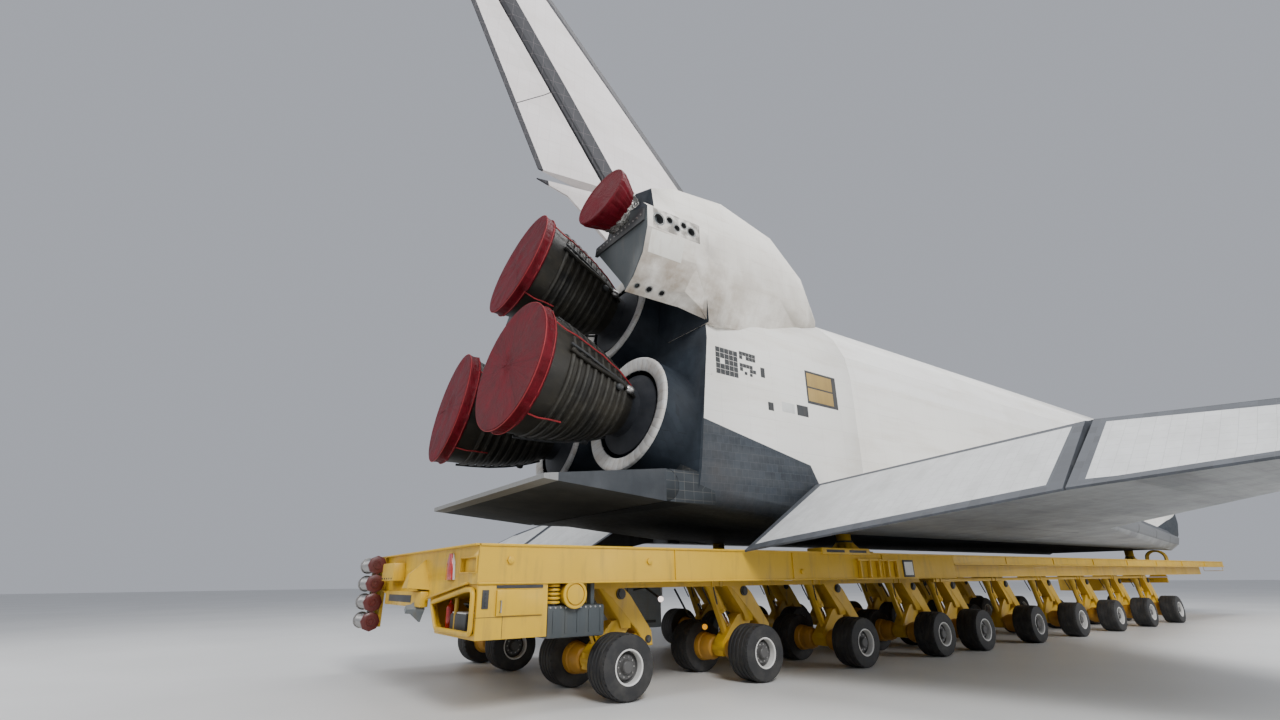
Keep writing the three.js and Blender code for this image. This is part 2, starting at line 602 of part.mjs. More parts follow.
// An elevon's hinge carried on past both its ends
function stretchedHinge({ inner, outer }, reach) {
  const at = (y) => {
    const share = (y - inner.y) / (outer.y - inner.y);
    const mix = (key) => inner[key] + share * (outer[key] - inner[key]);
    return { y, zo: mix("zo"), radius: mix("radius") };
  };
  return [at(inner.y - reach), at(outer.y + reach)];
}

function wing(side) {
  const coves = ELEVONS.map((elevon) => {
    const ends = stretchedHinge(elevon, 4);
    const tilt = elevonTilt(elevon);
    return coveCutter(ends, HINGE_XO, tilt, DROOP, LIP_TOP, LIP_BOTTOM);
  });
  const inboardEnd = stationBox(HINGE_XO - 6, 1500, 90, 118, 240, 340);
  const made = cut(loft(WING.map(wingRing)), ...coves, inboardEnd);
  const sided = side === PORT ? made : made.mirror([0, 1, 0]);
  return cut(sided, skinCutter);
}

function elevon(shape, side) {
  const tilt = elevonTilt(shape);
  const rings = [shape.inner, shape.outer].map((end) => {
    const rows = surfaceOutline(end.radius, end.chord, ELEVON_SET * end.radius, ELEVON_EDGE, DROOP);
    return hingeRing(rows, end, HINGE_XO, tilt);
  });
  return loft(mirrored(rings, side));
}

for (const [side, name] of SIDES) {
  add("wing_" + name, "greyWing", wing(side));
  for (const shape of ELEVONS) add("elevon_" + shape.name + "_" + name, "greyWing", elevon(shape, side));
}

// Fin and rudder

const rudderAxisXo = (zo) => RUDDER.axisXo + (zo - RUDDER.axisZo) * RUDDER.rake;

function finRing({ zo, lead, rear, crest, half, tail }) {
  const front = lead + 0.14 * (crest - lead);
  const right = [[lead, 0], [front, 0.42 * half], [crest, half], [rear, tail]];
  const left = right.slice(1).reverse().map(([xo, y]) => [xo, -y]);
  return [...right, ...left].map(([xo, y]) => place(xo, y, zo));
}

function verticalFin() {
  const [low, high] = [RUDDER.bottom - 2, RUDDER.top + 2];
  const tube = rod(place(rudderAxisXo(low), 0, low), place(rudderAxisXo(high), 0, high), RUDDER.tube * INCH,
    RUDDER.tubeSides);
  return cut(join(loft(FIN.map(finRing)), tube), skinCutter);
}

function rudderPanel(side) {
  const rings = [[RUDDER.bottom, RUDDER.halfBottom], [RUDDER.top, RUDDER.halfTop]].map(([zo, half]) => {
    const axis = rudderAxisXo(zo);
    const squint = Math.sqrt(1 + RUDDER.rake ** 2);
    const front = axis + (RUDDER.tube + GAP_IN) * squint;
    const tail = RUDDER.tailXo + (zo - RUDDER.tailZo) * RUDDER.tailRake;
    const rows = [[front, GAP_SPLIT], [axis + RUDDER.skinSet, half], [tail, RUDDER.edge], [tail, GAP_SPLIT]];
    return rows.map(([xo, y]) => place(xo, y * side, zo));
  });
  return loft(rings);
}

add("vertical_fin", "whiteTile", verticalFin());
for (const [side, name] of SIDES) add("rudder_panel_" + name, "whiteTile", rudderPanel(side));

// Manoeuvring pods and their engines

function omsFrame(side) {
  const origin = place(OMS.xo, OMS.y * side, OMS.zo);
  const direction = place(OMS.exitXo, OMS.exitY * side, OMS.exitZo).sub(origin).normalize();
  return { origin, direction };
}

function omsTurned(profile, side) {
  const { origin, direction } = omsFrame(side);
  return turned(profile.map(([d, r]) => [d * INCH, r * INCH]), origin, direction, 16);
}

function pod(side) {
  const rings = POD.map(({ xo, inner, outer, low, top }) => {
    const [width, height] = [outer - inner, top - low];
    return POD_OUTLINE.map(([across, up]) => place(xo, side * (inner + across * width), low + up * height));
  });
  const { y: middleY, zo: middleZo } = HOUSING_MIDDLE;
  const housing = loft(HOUSING_ENDS.map(({ xo, scale }) =>
    HOUSING.map(([y, zo]) =>
      place(xo, side * (middleY + scale * (y - middleY)), middleZo + scale * (zo - middleZo)))));
  const { inner, outer, low, top } = UNDERCUT_EDGE;
  const undercut = loft(UNDERCUT.map(({ xo, line }) =>
    [[inner, top], ...line, [outer, low], [inner, low]].map(([y, zo]) => place(xo, side * y, zo))));
  const recess = omsTurned(closed([[OMS.seat, OMS.recess], [90, OMS.recess + 8]]), side);
  return cut(join(cut(loft(rings), undercut), housing), skinCutter, finCutter, recess);
}

const finCutter = loft(FIN.map((row) => finRing({ ...row, half: row.half + 0.5, tail: row.tail + 0.5 })));

function bellInside(rows, wall, throat) {
  const inner = rows.map(([d, r]) => [d, r - wall]).reverse();
  return [...inner, [throat, 3], [throat, 0]];
}

for (const [side, name] of SIDES) {
  add("oms_pod_" + name, "whiteTile", pod(side));
  const seat = OMS.seat + GAP_IN;
  const bell = [[seat, 0], [seat, OMS_BELL[0][1]], ...OMS_BELL, ...bellInside(OMS_BELL.slice(1), 1, 38)];
  add("oms_engine_" + name, "bell", omsTurned(bell, side));
  add("oms_cover_" + name, "coverRed", omsTurned(OMS_COVER, side));
}

// Main engines

function mainEngine(engine) {
  const turn = BALL_STEP * RAD;
  const row = (steps) => [-BALL * Math.cos(steps * turn), BALL * Math.sin(steps * turn)];
  const ball = [row(0), row(1), row(2), [3.2, 2.4]];
  const head = [[11, 2.4], [14, 11], [20, 14], [50, 17.5], [64, 17.5]];
  const { inner, outer, radius } = SHIELD;
  const shield = [onSphere(inner, 18), onSphere(inner, 26), onSphere(inner, radius), onSphere(outer, radius),
    onSphere(outer, 26), onSphere(outer, 19)];
  return engineTurned(engine, [...ball, ...head, ...shield, ...BELL, ...bellInside(BELL, BELL_WALL, 56)]);
}

// Radius of the bell's outside at a distance along its axis
function bellRadius(d) {
  const next = BELL.findIndex((row) => row[0] >= d);
  const [[d0, r0], [d1, r1]] = [BELL[next - 1], BELL[next]];
  return r0 + ((d - d0) / (d1 - d0)) * (r1 - r0);
}

function engineCover(engine) {
  const end = BELL[BELL.length - 1][0];
  const { start, slack, thick } = COVER;
  const inside = bellRadius(start) + slack;
  const lip = bellRadius(end) + slack;
  const profile = [[end + GAP_IN, 0], [end + GAP_IN, lip], [start, inside], [start, inside + thick],
    [end, lip + thick], [COVER.end, lip], [COVER.end, 0]];
  return engineTurned(engine, profile);
}

for (const engine of ENGINES) {
  add("main_engine_" + engine.name, "bell", mainEngine(engine));
  add("engine_cover_" + engine.name, "coverRed", engineCover(engine));
}

// Transporter

const shifted = (outline, x) => outline.map(([along, up]) => [x + along, up]);

function bogieArm(x, side) {
  const y = BOGIE_Y * side;
  const turnX = x - TURNTABLE.ahead;
  const ring = rod(new THREE.Vector3(turnX, y, TURNTABLE.bottom), new THREE.Vector3(turnX, y, DECK.top - 10),
    TURNTABLE.radius, TURNTABLE.sides);
  const upper = plate(shifted(UPPER_ARM, x), y - UPPER_ARM_HALF, y + UPPER_ARM_HALF);
  const lower = plate(shifted(LOWER_ARM, x), y - LOWER_ARM_HALF, y + LOWER_ARM_HALF);
  const boreCorner = (AXLE.radius + AXLE.slack) / Math.cos(Math.PI / AXLE.boreSides);
  const bore = rod(new THREE.Vector3(x, y - 300, TYRE.radius), new THREE.Vector3(x, y + 300, TYRE.radius),
    boreCorner, AXLE.boreSides);
  const ramEnd = ([along, up]) => new THREE.Vector3(x + along, y, up);
  const ram = rod(ramEnd(RAM.from), ramEnd(RAM.to), RAM.radius, RAM.sides);
  return cut(join(ring, upper, lower, ram), bore);
}

function frameSection(back, front, girderBottom, spineBottom) {
  const deck = box(back, front, -DECK.half, DECK.half, DECK.top - DECK.thick, DECK.top);
  const girders = SIDES.map(([side]) =>
    box(back, front, side * (DECK.half - GIRDER.width), side * DECK.half, girderBottom, DECK.top - 1));
  const spine = box(back, front, -SPINE.half, SPINE.half, spineBottom, DECK.top - 1);
  return join(deck, ...girders, spine);
}

function crossBeam(x) {
  return box(x - TURNTABLE.ahead - 150, x - TURNTABLE.ahead + 150, -DECK.half + 10, DECK.half - 10,
    TURNTABLE.bottom + 130, DECK.top - 1);
}

function hasBogie(x, side) {
  return !(side === PORT && x === STATIONS_FRONT[STATIONS_FRONT.length - 1]);
}

// A rail that ties the arms of one side together
function rail(back, front, side) {
  return box(back, front, side * RAIL.inner, side * RAIL.outer, RAIL.low, RAIL.high);
}

function frameNode(back, front, girderBottom, spineBottom, stations) {
  const arms = stations.flatMap((x) =>
    SIDES.filter(([side]) => hasBogie(x, side)).map(([side]) => bogieArm(x, side)));
  return join(frameSection(back, front, girderBottom, spineBottom), ...stations.map(crossBeam), ...arms);
}

function rearFrame() {
  const frame = frameNode(DECK.rear, DECK.step - GAP / 2, GIRDER.deep, SPINE.deep, STATIONS_REAR);
  const plates = SIDES.map(([side]) => slice(END_PLATE.half, DECK.rear, DECK.rear + END_PLATE.thick, side));
  const rails = SIDES.map(([side]) => rail(RAIL.back, RAIL.end, side));
  const drumEnd = (y) => new THREE.Vector3(DRUM.x, STARBOARD * y, DRUM.z);
  const drum = rod(drumEnd(DRUM.inner), drumEnd(DRUM.outer), DRUM.radius, DRUM.sides);
  const { inner, outer, low, high, deep } = END_RECESS;
  const recess = box(DECK.rear - deep, DECK.rear + deep, STARBOARD * inner, STARBOARD * outer, low, high);
  return cut(join(frame, ...plates, ...rails, drum), recess);
}

function frontFrame() {
  const frame = frameNode(DECK.step + GAP / 2, DECK.front, GIRDER.shallow, SPINE.shallow, STATIONS_FRONT);
  const beams = SIDES.map(([side]) =>
    box(INSET_BEAM.back, INSET_BEAM.front, side * INSET_BEAM.inner, side * INSET_BEAM.outer, INSET_BEAM.low,
      DECK.top - 1));
  const rails = SIDES.map(([side]) => {
    const last = STATIONS_FRONT.filter((x) => hasBogie(x, side)).pop();
    return rail(STATIONS_FRONT[0] + UPPER_ARM[0][0], last + RAIL.ahead, side);
  });
  return join(frame, ...beams, ...rails);
}

function wheelset(x, side) {
  const { radius, sides, inner, outer, rim, hub, dish } = TYRE;
  const corner = radius / Math.cos(Math.PI / sides);
  const tyre = [[inner, AXLE.radius], [inner, corner], [outer, corner], [outer, rim], [dish, hub], [dish, 0]];
  const half = [[0, AXLE.radius], ...tyre];
  const other = half.slice(1).reverse().map(([along, r]) => [-along, r]);
  const centre = new THREE.Vector3(x, BOGIE_Y * side, radius);
  return turned([...other, ...half.slice(1)], centre, new THREE.Vector3(0, 1, 0), sides, Math.PI / sides);
}

add("transporter_frame_rear", "yellow", rearFrame());
add("transporter_frame_front", "yellow", frontFrame());

const stations = [...STATIONS_REAR, ...STATIONS_FRONT];
for (const [side, name] of SIDES)
  stations.forEach((x, i) => {
    if (hasBogie(x, side)) add("wheelset_" + name + "_" + (i + 1), "tyre", wheelset(x, side));
  });

// A hollow cab under a corner of the deck, open at its end
function driverCab(end, outward, side) {
  const { length, bottom, wall } = CAB;
  const inEnd = end - outward * length;
  const shell = slice(CAB_SHELL, inEnd, end, side);
  const room = slice(CAB_ROOM, inEnd + outward * wall, end - outward * wall, side);
  const opening = slice(CAB_OPENING, end - outward * 2 * wall, end + outward * wall, side);
  const x = (end + inEnd) / 2;
  const { halfLength, halfWidth, height, back, backThick } = SEAT;
  const [left, right, floor] = [SEAT.y * side - halfWidth, SEAT.y * side + halfWidth, bottom + wall - 1];
  const rear = x - outward * halfLength;
  const cushion = box(x - halfLength, x + halfLength, left, right, floor, bottom + height);
  const backrest = box(rear, rear + outward * backThick, left, right, floor, bottom + back);
  return join(cut(shell, room, opening), cushion, backrest);
}

add("driver_cab_rear", "yellow", driverCab(DECK.rear + CAB.overhang, -1, STARBOARD));

function frontCab() {
  const { back, front, inner, outer } = HANGER;
  const hanger = box(DECK.front - back, DECK.front - front, inner, outer, CAB.top - 1, GIRDER.shallow - GAP);
  return join(driverCab(DECK.front - CAB.overhang, 1, PORT), hanger);
}

add("driver_cab_front", "yellow", frontCab());

// A post from the deck to the belly, cut to the belly's own shape
function support(x, y, radius, plateHalf) {
  const { plateThick, tall, sides } = SUPPORT;
  const [low, high] = [DECK.top + GAP, DECK.top + plateThick];
  const base = box(x - plateHalf, x + plateHalf, y - plateHalf, y + plateHalf, low, high);
  const foot = new THREE.Vector3(x, y, high - 10);
  const post = rod(foot, new THREE.Vector3(x, y, DECK.top + tall), radius, sides);
  return cut(join(base, post), skinCutter);
}

for (const [side, name] of SIDES)
  add("aft_support_" + name, "yellow",
    support(SUPPORT_AFT.x, SUPPORT_AFT.y * side, SUPPORT_AFT.radius, SUPPORT_AFT.plate));
add("forward_support", "yellow",
  support(SUPPORT_FORWARD.x, 0, SUPPORT_FORWARD.radius, SUPPORT_FORWARD.plate));

add("power_unit", "greyPaint",
  box(POWER.x0, POWER.x1, -POWER.half, POWER.half, POWER.bottom, SPINE.deep - GAP));

// A tank with chamfered edges, hung from the starboard girder
function fuelTank() {
  const { back, front, inner, outer, low, high, edge } = TANK;
  const section = [
    [inner + edge, low], [outer - edge, low], [outer, low + edge], [outer, high - edge], [outer - edge, high],
    [inner + edge, high], [inner, high - edge], [inner, low + edge],
  ];
  const { half, inset } = TANK_HANGER;
  const hangers = [back + inset, front - inset].map((x) =>
    box(x - half, x + half, STARBOARD * TANK_HANGER.inner, STARBOARD * TANK_HANGER.outer, high - 1,
      GIRDER.deep - GAP));
  return join(slice(section, back, front, STARBOARD), ...hangers);
}

add("fuel_tank", "greyPaint", fuelTank());

function hoseReels() {
  const { x, z, pitch, count, barrel, disc, thick, start, end } = REELS;
  const at = (y, row) => new THREE.Vector3(x, y, z + row * pitch);
  const rows = Array.from({ length: count }, (_, row) => row);
  const barrels = rows.map((row) => rod(at(start, row), at(end, row), barrel, 12));
  const discs = rows.map((row) => rod(at(start, row), at(start + thick, row), disc, 8));
  const { back, inner, outer, low, high } = REEL_PLATE;
  const backing = box(back, DECK.rear - GAP, inner, outer, low, high);
  const web = box(x, back + 1, REEL_WEB.inner, REEL_WEB.outer, z, z + (count - 1) * pitch);
  return join(backing, web, ...barrels, ...discs);
}

add("hose_reels", "reelRed", hoseReels());

export default shuttle;
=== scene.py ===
"""A winged space shuttle orbiter, gear up, on its multi-wheel transporter: the finish and fine shapes.

Everything is in metres: +X forward, +Y to port, +Z up, with the floor at Z 0. The orbiter's own
places are given in inches at its stations: xo aft, y to port, zo up.
"""

import json
import logging
import math
import random
from dataclasses import dataclass, field
from enum import Enum
from typing import Callable, Iterable, Optional, Sequence, Union

import bpy
from mathutils import Matrix, Vector
from mathutils.bvhtree import BVHTree

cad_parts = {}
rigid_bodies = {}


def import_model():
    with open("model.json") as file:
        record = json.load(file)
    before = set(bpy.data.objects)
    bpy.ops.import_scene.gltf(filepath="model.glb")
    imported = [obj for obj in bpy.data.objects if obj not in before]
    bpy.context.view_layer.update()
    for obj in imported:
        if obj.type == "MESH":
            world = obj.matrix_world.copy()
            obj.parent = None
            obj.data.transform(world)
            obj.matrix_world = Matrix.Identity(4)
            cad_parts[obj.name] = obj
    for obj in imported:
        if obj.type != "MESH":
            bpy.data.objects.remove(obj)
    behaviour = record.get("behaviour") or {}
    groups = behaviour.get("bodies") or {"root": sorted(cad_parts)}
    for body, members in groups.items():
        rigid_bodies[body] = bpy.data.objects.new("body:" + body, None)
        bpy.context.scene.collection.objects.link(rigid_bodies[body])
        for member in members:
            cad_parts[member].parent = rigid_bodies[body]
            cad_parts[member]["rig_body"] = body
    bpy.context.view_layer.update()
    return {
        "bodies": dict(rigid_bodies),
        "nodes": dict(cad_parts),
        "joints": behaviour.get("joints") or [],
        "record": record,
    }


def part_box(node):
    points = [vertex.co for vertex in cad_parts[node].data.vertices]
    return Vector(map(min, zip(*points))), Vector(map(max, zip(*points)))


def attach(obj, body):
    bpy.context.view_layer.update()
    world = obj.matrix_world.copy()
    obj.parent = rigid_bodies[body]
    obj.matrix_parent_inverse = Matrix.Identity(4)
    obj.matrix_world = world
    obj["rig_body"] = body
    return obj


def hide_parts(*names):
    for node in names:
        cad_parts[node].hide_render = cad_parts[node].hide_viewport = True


LOG = logging.getLogger("orbiter")
INCH = 0.0254
CENTRE_XO = 970.0
FLOOR_ZO = 167.0
SIDES = ((1, "port"), (-1, "starboard"))

PORT = Vector((0, 1, 0))
STARBOARD = Vector((0, -1, 0))
AFT = Vector((-1, 0, 0))
UP = Vector((0, 0, 1))
MERGE = 1e-5  # vertices closer than this, in metres, are one
TILE = 0.155  # a tile's pitch in metres

Piece = bpy.types.Object
Material = bpy.types.Material
Socket = bpy.types.NodeSocket
Value = Union[float, Socket]
Colour = tuple[float, float, float]
Place = tuple[float, float, float]
Row = tuple[float, float]
BoxRow = tuple[str, Row, Row, Row, float]  # finish, X, Y, Z and bevel
Chooser = Callable[[Vector, Vector], int]  # from a face's centre and normal to a material's number


def tinted(colour: Colour, factor: float) -> Colour:
    """A colour made lighter or darker by a factor."""
    return tuple(factor * part for part in colour)


def station(xo: float, y: float, zo: float) -> Vector:
    """A point given at the orbiter's stations, in inches.

    Args:
        xo: Distance aft.
        y: Distance to port.
        zo: Height.

    Returns:
        The point in metres.
    """
    return Vector(((CENTRE_XO - xo) * INCH, y * INCH, (zo - FLOOR_ZO) * INCH))


def x_of(xo: float) -> float:
    """The X of a station, in metres."""
    return (CENTRE_XO - xo) * INCH


def z_of(zo: float) -> float:
    """The Z of a height station, in metres."""
    return (zo - FLOOR_ZO) * INCH


class Slot(Enum):
    """The record's material slots that pieces take their finish from."""

    WHITE_TILE = "white_tile"
    BLACK_TILE = "black_tile"
    WING_TILE = "wing_tile"
    CARBON = "carbon"
    WINDOW = "window"
    LINING = "cabin_lining"
    BELL = "bell_metal"
    COVER = "cover_red"
    YELLOW = "yellow_paint"
    TYRE = "tyre_rubber"
    GREY = "grey_paint"
    REEL = "reel_red"
    STEEL = "steel"


class Bench:
    """The modelling moves that the pieces share, each made with Blender's own operators."""

    @staticmethod
    def clear() -> None:
        """Deselects everything in object mode."""
        if bpy.context.active_object and bpy.context.active_object.mode != "OBJECT":
            bpy.ops.object.mode_set(mode="OBJECT")
        bpy.ops.object.select_all(action="DESELECT")

    @staticmethod
    def pick(piece: Piece) -> None:
        """Selects one piece alone and makes it active.

        Args:
            piece: The object.
        """
        Bench.clear()
        piece.select_set(True)
        bpy.context.view_layer.objects.active = piece

    @staticmethod
    def edit(piece: Piece) -> None:
        """Opens one piece alone in edit mode.

        Args:
            piece: The mesh object.
        """
        Bench.pick(piece)
        bpy.ops.object.mode_set(mode="EDIT")

    @staticmethod
    def close(piece: Piece, outward: bool = True) -> None:
        """Merges doubles, turns the faces outwards and leaves edit mode.

        Args:
            piece: The mesh object that is open in edit mode.
            outward: Whether the faces are turned outwards.
        """
        bpy.ops.mesh.select_all(action="SELECT")
        bpy.ops.mesh.remove_doubles(threshold=MERGE)
        if outward:
            bpy.ops.mesh.normals_make_consistent(inside=False)
        bpy.ops.object.mode_set(mode="OBJECT")
        piece.select_set(True)

    @staticmethod
    def point(name: str) -> Piece:
        """A mesh of a single vertex at the origin, open in edit mode, to extrude from.

        Args:
            name: The piece's name.

        Returns:
            The piece.
        """
        Bench.clear()
        bpy.ops.mesh.primitive_plane_add(size=1, location=(0, 0, 0))
        piece = bpy.context.active_object
        piece.name = name
        bpy.ops.object.mode_set(mode="EDIT")
        bpy.ops.mesh.select_mode(type="VERT")
        bpy.ops.mesh.select_all(action="SELECT")
        bpy.ops.mesh.merge(type="CENTER")
        return piece

    @staticmethod
    def trace(points: Sequence[Vector]) -> None:
        """Extrudes the open point along a line of points.

        Args:
            points: The line, starting where the point is moved to.
        """
        bpy.ops.transform.translate(value=points[0])
        for before, after in zip(points, points[1:]):
            bpy.ops.mesh.extrude_vertices_move(TRANSFORM_OT_translate={"value": after - before})

    @staticmethod
    def place(piece: Piece, matrix: Matrix) -> Piece:
        """Moves a piece to its place and keeps the place in its mesh.

        Args:
            piece: The mesh object.
            matrix: Where it goes.

        Returns:
            The same piece.
        """
        Bench.pick(piece)
        piece.matrix_world = matrix
        bpy.context.view_layer.update()
        bpy.ops.object.transform_apply(location=True, rotation=True, scale=True)
        return piece

    @staticmethod
    def frame(origin: Vector, axis: Vector) -> Matrix:
        """A matrix that turns +Z to an axis and moves the origin there.

        Args:
            origin: The new origin.
            axis: Where +Z goes.

        Returns:
            The matrix.
        """
        return Matrix.Translation(origin) @ axis.to_track_quat("Z", "Y").to_matrix().to_4x4()

    @staticmethod
    def modify(piece: Piece, kind: str, **settings: object) -> None:
        """Adds a modifier, sets it and applies it.

        Args:
            piece: The mesh object.
            kind: The modifier's type.
            **settings: Its settings by name.
        """
        Bench.pick(piece)
        bpy.ops.object.modifier_add(type=kind)
        modifier = piece.modifiers[-1]
        for key, value in settings.items():
            setattr(modifier, key, value)
        bpy.ops.object.modifier_apply(modifier=modifier.name)

    @staticmethod
    def smooth(piece: Piece, degrees: float = 35.0) -> Piece:
        """Shades a piece smooth, with edges sharper than an angle kept.

        Args:
            piece: The mesh object.
            degrees: The angle.

        Returns:
            The same piece.
        """
        Bench.pick(piece)
        bpy.ops.object.shade_smooth_by_angle(angle=math.radians(degrees))
        return piece

    @staticmethod
    def lathe(
        name: str,
        rows: Sequence[Row],
        origin: Vector,
        axis: Vector,
        steps: int = 48,
        closed: bool = False,
        degrees: float = 35.0,
    ) -> Piece:
        """A turned piece, with its angle and length kept as a UV map.

        Args:
            name: The piece's name.
            rows: Distance along the axis and radius, one after another.
            origin: The point that distances start from.
            axis: The direction of the axis.
            steps: Faces round the axis.
            closed: Whether the last row joins the first.
            degrees: Edges sharper than this stay sharp.

        Returns:
            The piece, in place.
        """
        piece = Bench.point(name)
        line = [Vector((radius, 0, along)) for along, radius in rows]
        Bench.trace(line + line[:1] if closed else line)
        bpy.ops.mesh.select_all(action="SELECT")
        bpy.ops.mesh.spin(steps=steps, angle=2 * math.pi, center=(0, 0, 0), axis=(0, 0, 1))
        Bench.close(piece)
        Bench.wrap(piece)
        Bench.place(piece, Bench.frame(origin, axis))
        return Bench.smooth(piece, degrees)

    @staticmethod
    def wrap(piece: Piece) -> None:
        """Writes a UV map of a turned mesh: the turn round +Z from 0 to 1, and the height.

        Args:
            piece: The mesh object, still on its own axis.
        """
        layers = piece.data.uv_layers
        layer = layers[0] if layers else layers.new(name="UVMap")
        for face in piece.data.polygons:
            turns = []
            for index in face.loop_indices:
                spot = piece.data.vertices[piece.data.loops[index].vertex_index].co
                turns.append(math.atan2(spot.y, spot.x) / (2 * math.pi) % 1.0)
            seam = max(turns) - min(turns) > 0.5
            for index, turn in zip(face.loop_indices, turns):
                height = piece.data.vertices[piece.data.loops[index].vertex_index].co.z
                layer.data[index].uv = (turn + 1.0 if seam and turn < 0.5 else turn, height)

    @staticmethod
    def block(name: str, low: Vector, high: Vector, bevel: float) -> Piece:
        """A box with rounded edges.

        Args:
            name: The piece's name.
            low: Its lowest corner.
            high: Its highest corner.
            bevel: The radius of its edges.

        Returns:
            The piece, in place.
        """
        Bench.clear()
        bpy.ops.mesh.primitive_cube_add(size=1, location=(0, 0, 0))
        piece = bpy.context.active_object
        piece.name = name
        size = high - low
        Bench.place(piece, Matrix.Translation((low + high) / 2) @ Matrix.Diagonal((*size, 1)))
        if bevel:
            Bench.modify(piece, "BEVEL", width=min(bevel, 0.4 * min(size)), segments=2)
        return Bench.smooth(piece, 40)

    @staticmethod
    def slab(
        name: str, outline: Sequence[Vector], push: Vector, bevel: float = 0.0
    ) -> Piece:
        """A flat outline pushed out to a thickness.

        Args:
            name: The piece's name.
            outline: Its corners in order.
            push: Direction and thickness.
            bevel: The radius of its edges.

        Returns:
            The piece, in place.
        """
        piece = Bench.point(name)
        Bench.trace([*outline, outline[0]])
        bpy.ops.mesh.select_all(action="SELECT")
        bpy.ops.mesh.remove_doubles(threshold=MERGE)
        bpy.ops.mesh.edge_face_add()
        bpy.ops.mesh.extrude_region_move(TRANSFORM_OT_translate={"value": push})
        Bench.close(piece)
        if bevel:
            Bench.modify(piece, "BEVEL", width=bevel, segments=2, limit_method="ANGLE")
        return Bench.smooth(piece, 35)

    @staticmethod
    def pipe(
        name: str, points: Sequence[Vector], radius: float, sides: int = 10, bend: float = 0.0
    ) -> Piece:
        """A rigid pipe along a line of points, with rounded bends.

        Args:
            name: The piece's name.
            points: The line.
            radius: The pipe's radius.
            sides: Faces round it.
            bend: How far before each corner a bend starts.

        Returns:
            The piece, in place.
        """
        line = [points[0]]
        for before, corner, after in zip(points, points[1:], points[2:]):
            start = corner + (before - corner).normalized() * bend
            end = corner + (after - corner).normalized() * bend
            steps = (0.0, 0.25, 0.5, 0.75, 1.0) if bend else (0.0,)
            for step in steps:
                line.append(start.lerp(corner, step).lerp(corner.lerp(end, step), step))
        line.append(points[-1])
        piece = Bench.point(name)
        Bench.trace(line)
        Bench.close(piece, outward=False)
        Bench.pick(piece)
        bpy.ops.object.convert(target="CURVE")
        piece.data.bevel_depth = radius
        piece.data.bevel_resolution = max(0, sides // 2 - 2)
        piece.data.use_fill_caps = True
        bpy.ops.object.convert(target="MESH")
        return Bench.smooth(piece, 50)

    @staticmethod
    def hoop(
        name: str, radius: float, thick: float, origin: Vector, axis: Vector, steps: int = 48,
        sides: int = 8
    ) -> Piece:
        """A round bar bent into a ring.

        Args:
            name: The piece's name.
            radius: The ring's radius to the middle of the bar.
            thick: The bar's radius.
            origin: The ring's middle.
            axis: The direction that it faces.
            steps: Faces round the ring.
            sides: Faces round the bar.

        Returns:
            The piece, in place.
        """
        turns = [2 * math.pi * i / sides for i in range(sides)]
        rows = [(thick * math.sin(turn), radius + thick * math.cos(turn)) for turn in turns]
        return Bench.lathe(name, rows, origin, axis, steps, True, 70)

    @staticmethod
    def hull(name: str, points: Sequence[Vector]) -> Piece:
        """The closed skin stretched over a few points.

        Args:
            name: The piece's name.
            points: Where it is stretched.

        Returns:
            The piece.
        """
        piece = Bench.point(name)
        Bench.trace(points)
        bpy.ops.mesh.select_all(action="SELECT")
        bpy.ops.mesh.convex_hull()
        Bench.close(piece)
        return Bench.smooth(piece, 25)

    @staticmethod
    def drill(piece: Piece, cutter: Piece) -> Piece:
        """Takes a cutter's shape out of a piece, and removes the cutter.

        Args:
            piece: The piece that is cut.
            cutter: The closed shape that is taken out.

        Returns:
            The piece.
        """
        Bench.modify(piece, "BOOLEAN", operation="DIFFERENCE", solver="EXACT", object=cutter)
        bpy.data.objects.remove(cutter)
        return piece

    @staticmethod
    def repeat(piece: Piece, places: Sequence[Matrix]) -> Piece:
        """Copies a piece to several places and joins the copies.

        Args:
            piece: The piece, which the copies stand for.
            places: How each copy is moved from where the piece is.

        Returns:
            The joined copies.
        """
        name = piece.name
        copies = [Bench.copy(piece, f"{name}_{i}", place) for i, place in enumerate(places)]
        bpy.data.objects.remove(piece)
        return Bench.join(name, copies)

    @staticmethod
    def row(piece: Piece, step: Vector, count: int) -> Piece:
        """Copies a piece along a line and joins the copies."""
        return Bench.repeat(piece, [Matrix.Translation(step * i) for i in range(count)])

    @staticmethod
    def join(name: str, pieces: Sequence[Piece]) -> Piece:
        """Joins pieces into one.

        Args:
            name: The new piece's name.
            pieces: The mesh objects.

        Returns:
            The joined piece.
        """
        Bench.clear()
        for piece in pieces:
            piece.select_set(True)
        bpy.context.view_layer.objects.active = pieces[0]
        if len(pieces) > 1:
            bpy.ops.object.join()
        pieces[0].name = name
        return pieces[0]

    @staticmethod
    def copy(piece: Piece, name: str, matrix: Matrix) -> Piece:
        """A copy of a finished piece with its own mesh, moved to its place.

        Args:
            piece: The piece to copy.
            name: The copy's name.
            matrix: How it is moved from where the piece is.

        Returns:
            The copy.
        """
        mesh = piece.data.copy()
        mesh.transform(matrix)
        if matrix.determinant() < 0:
            mesh.flip_normals()
        made = bpy.data.objects.new(name, mesh)
        bpy.context.scene.collection.objects.link(made)
        return made

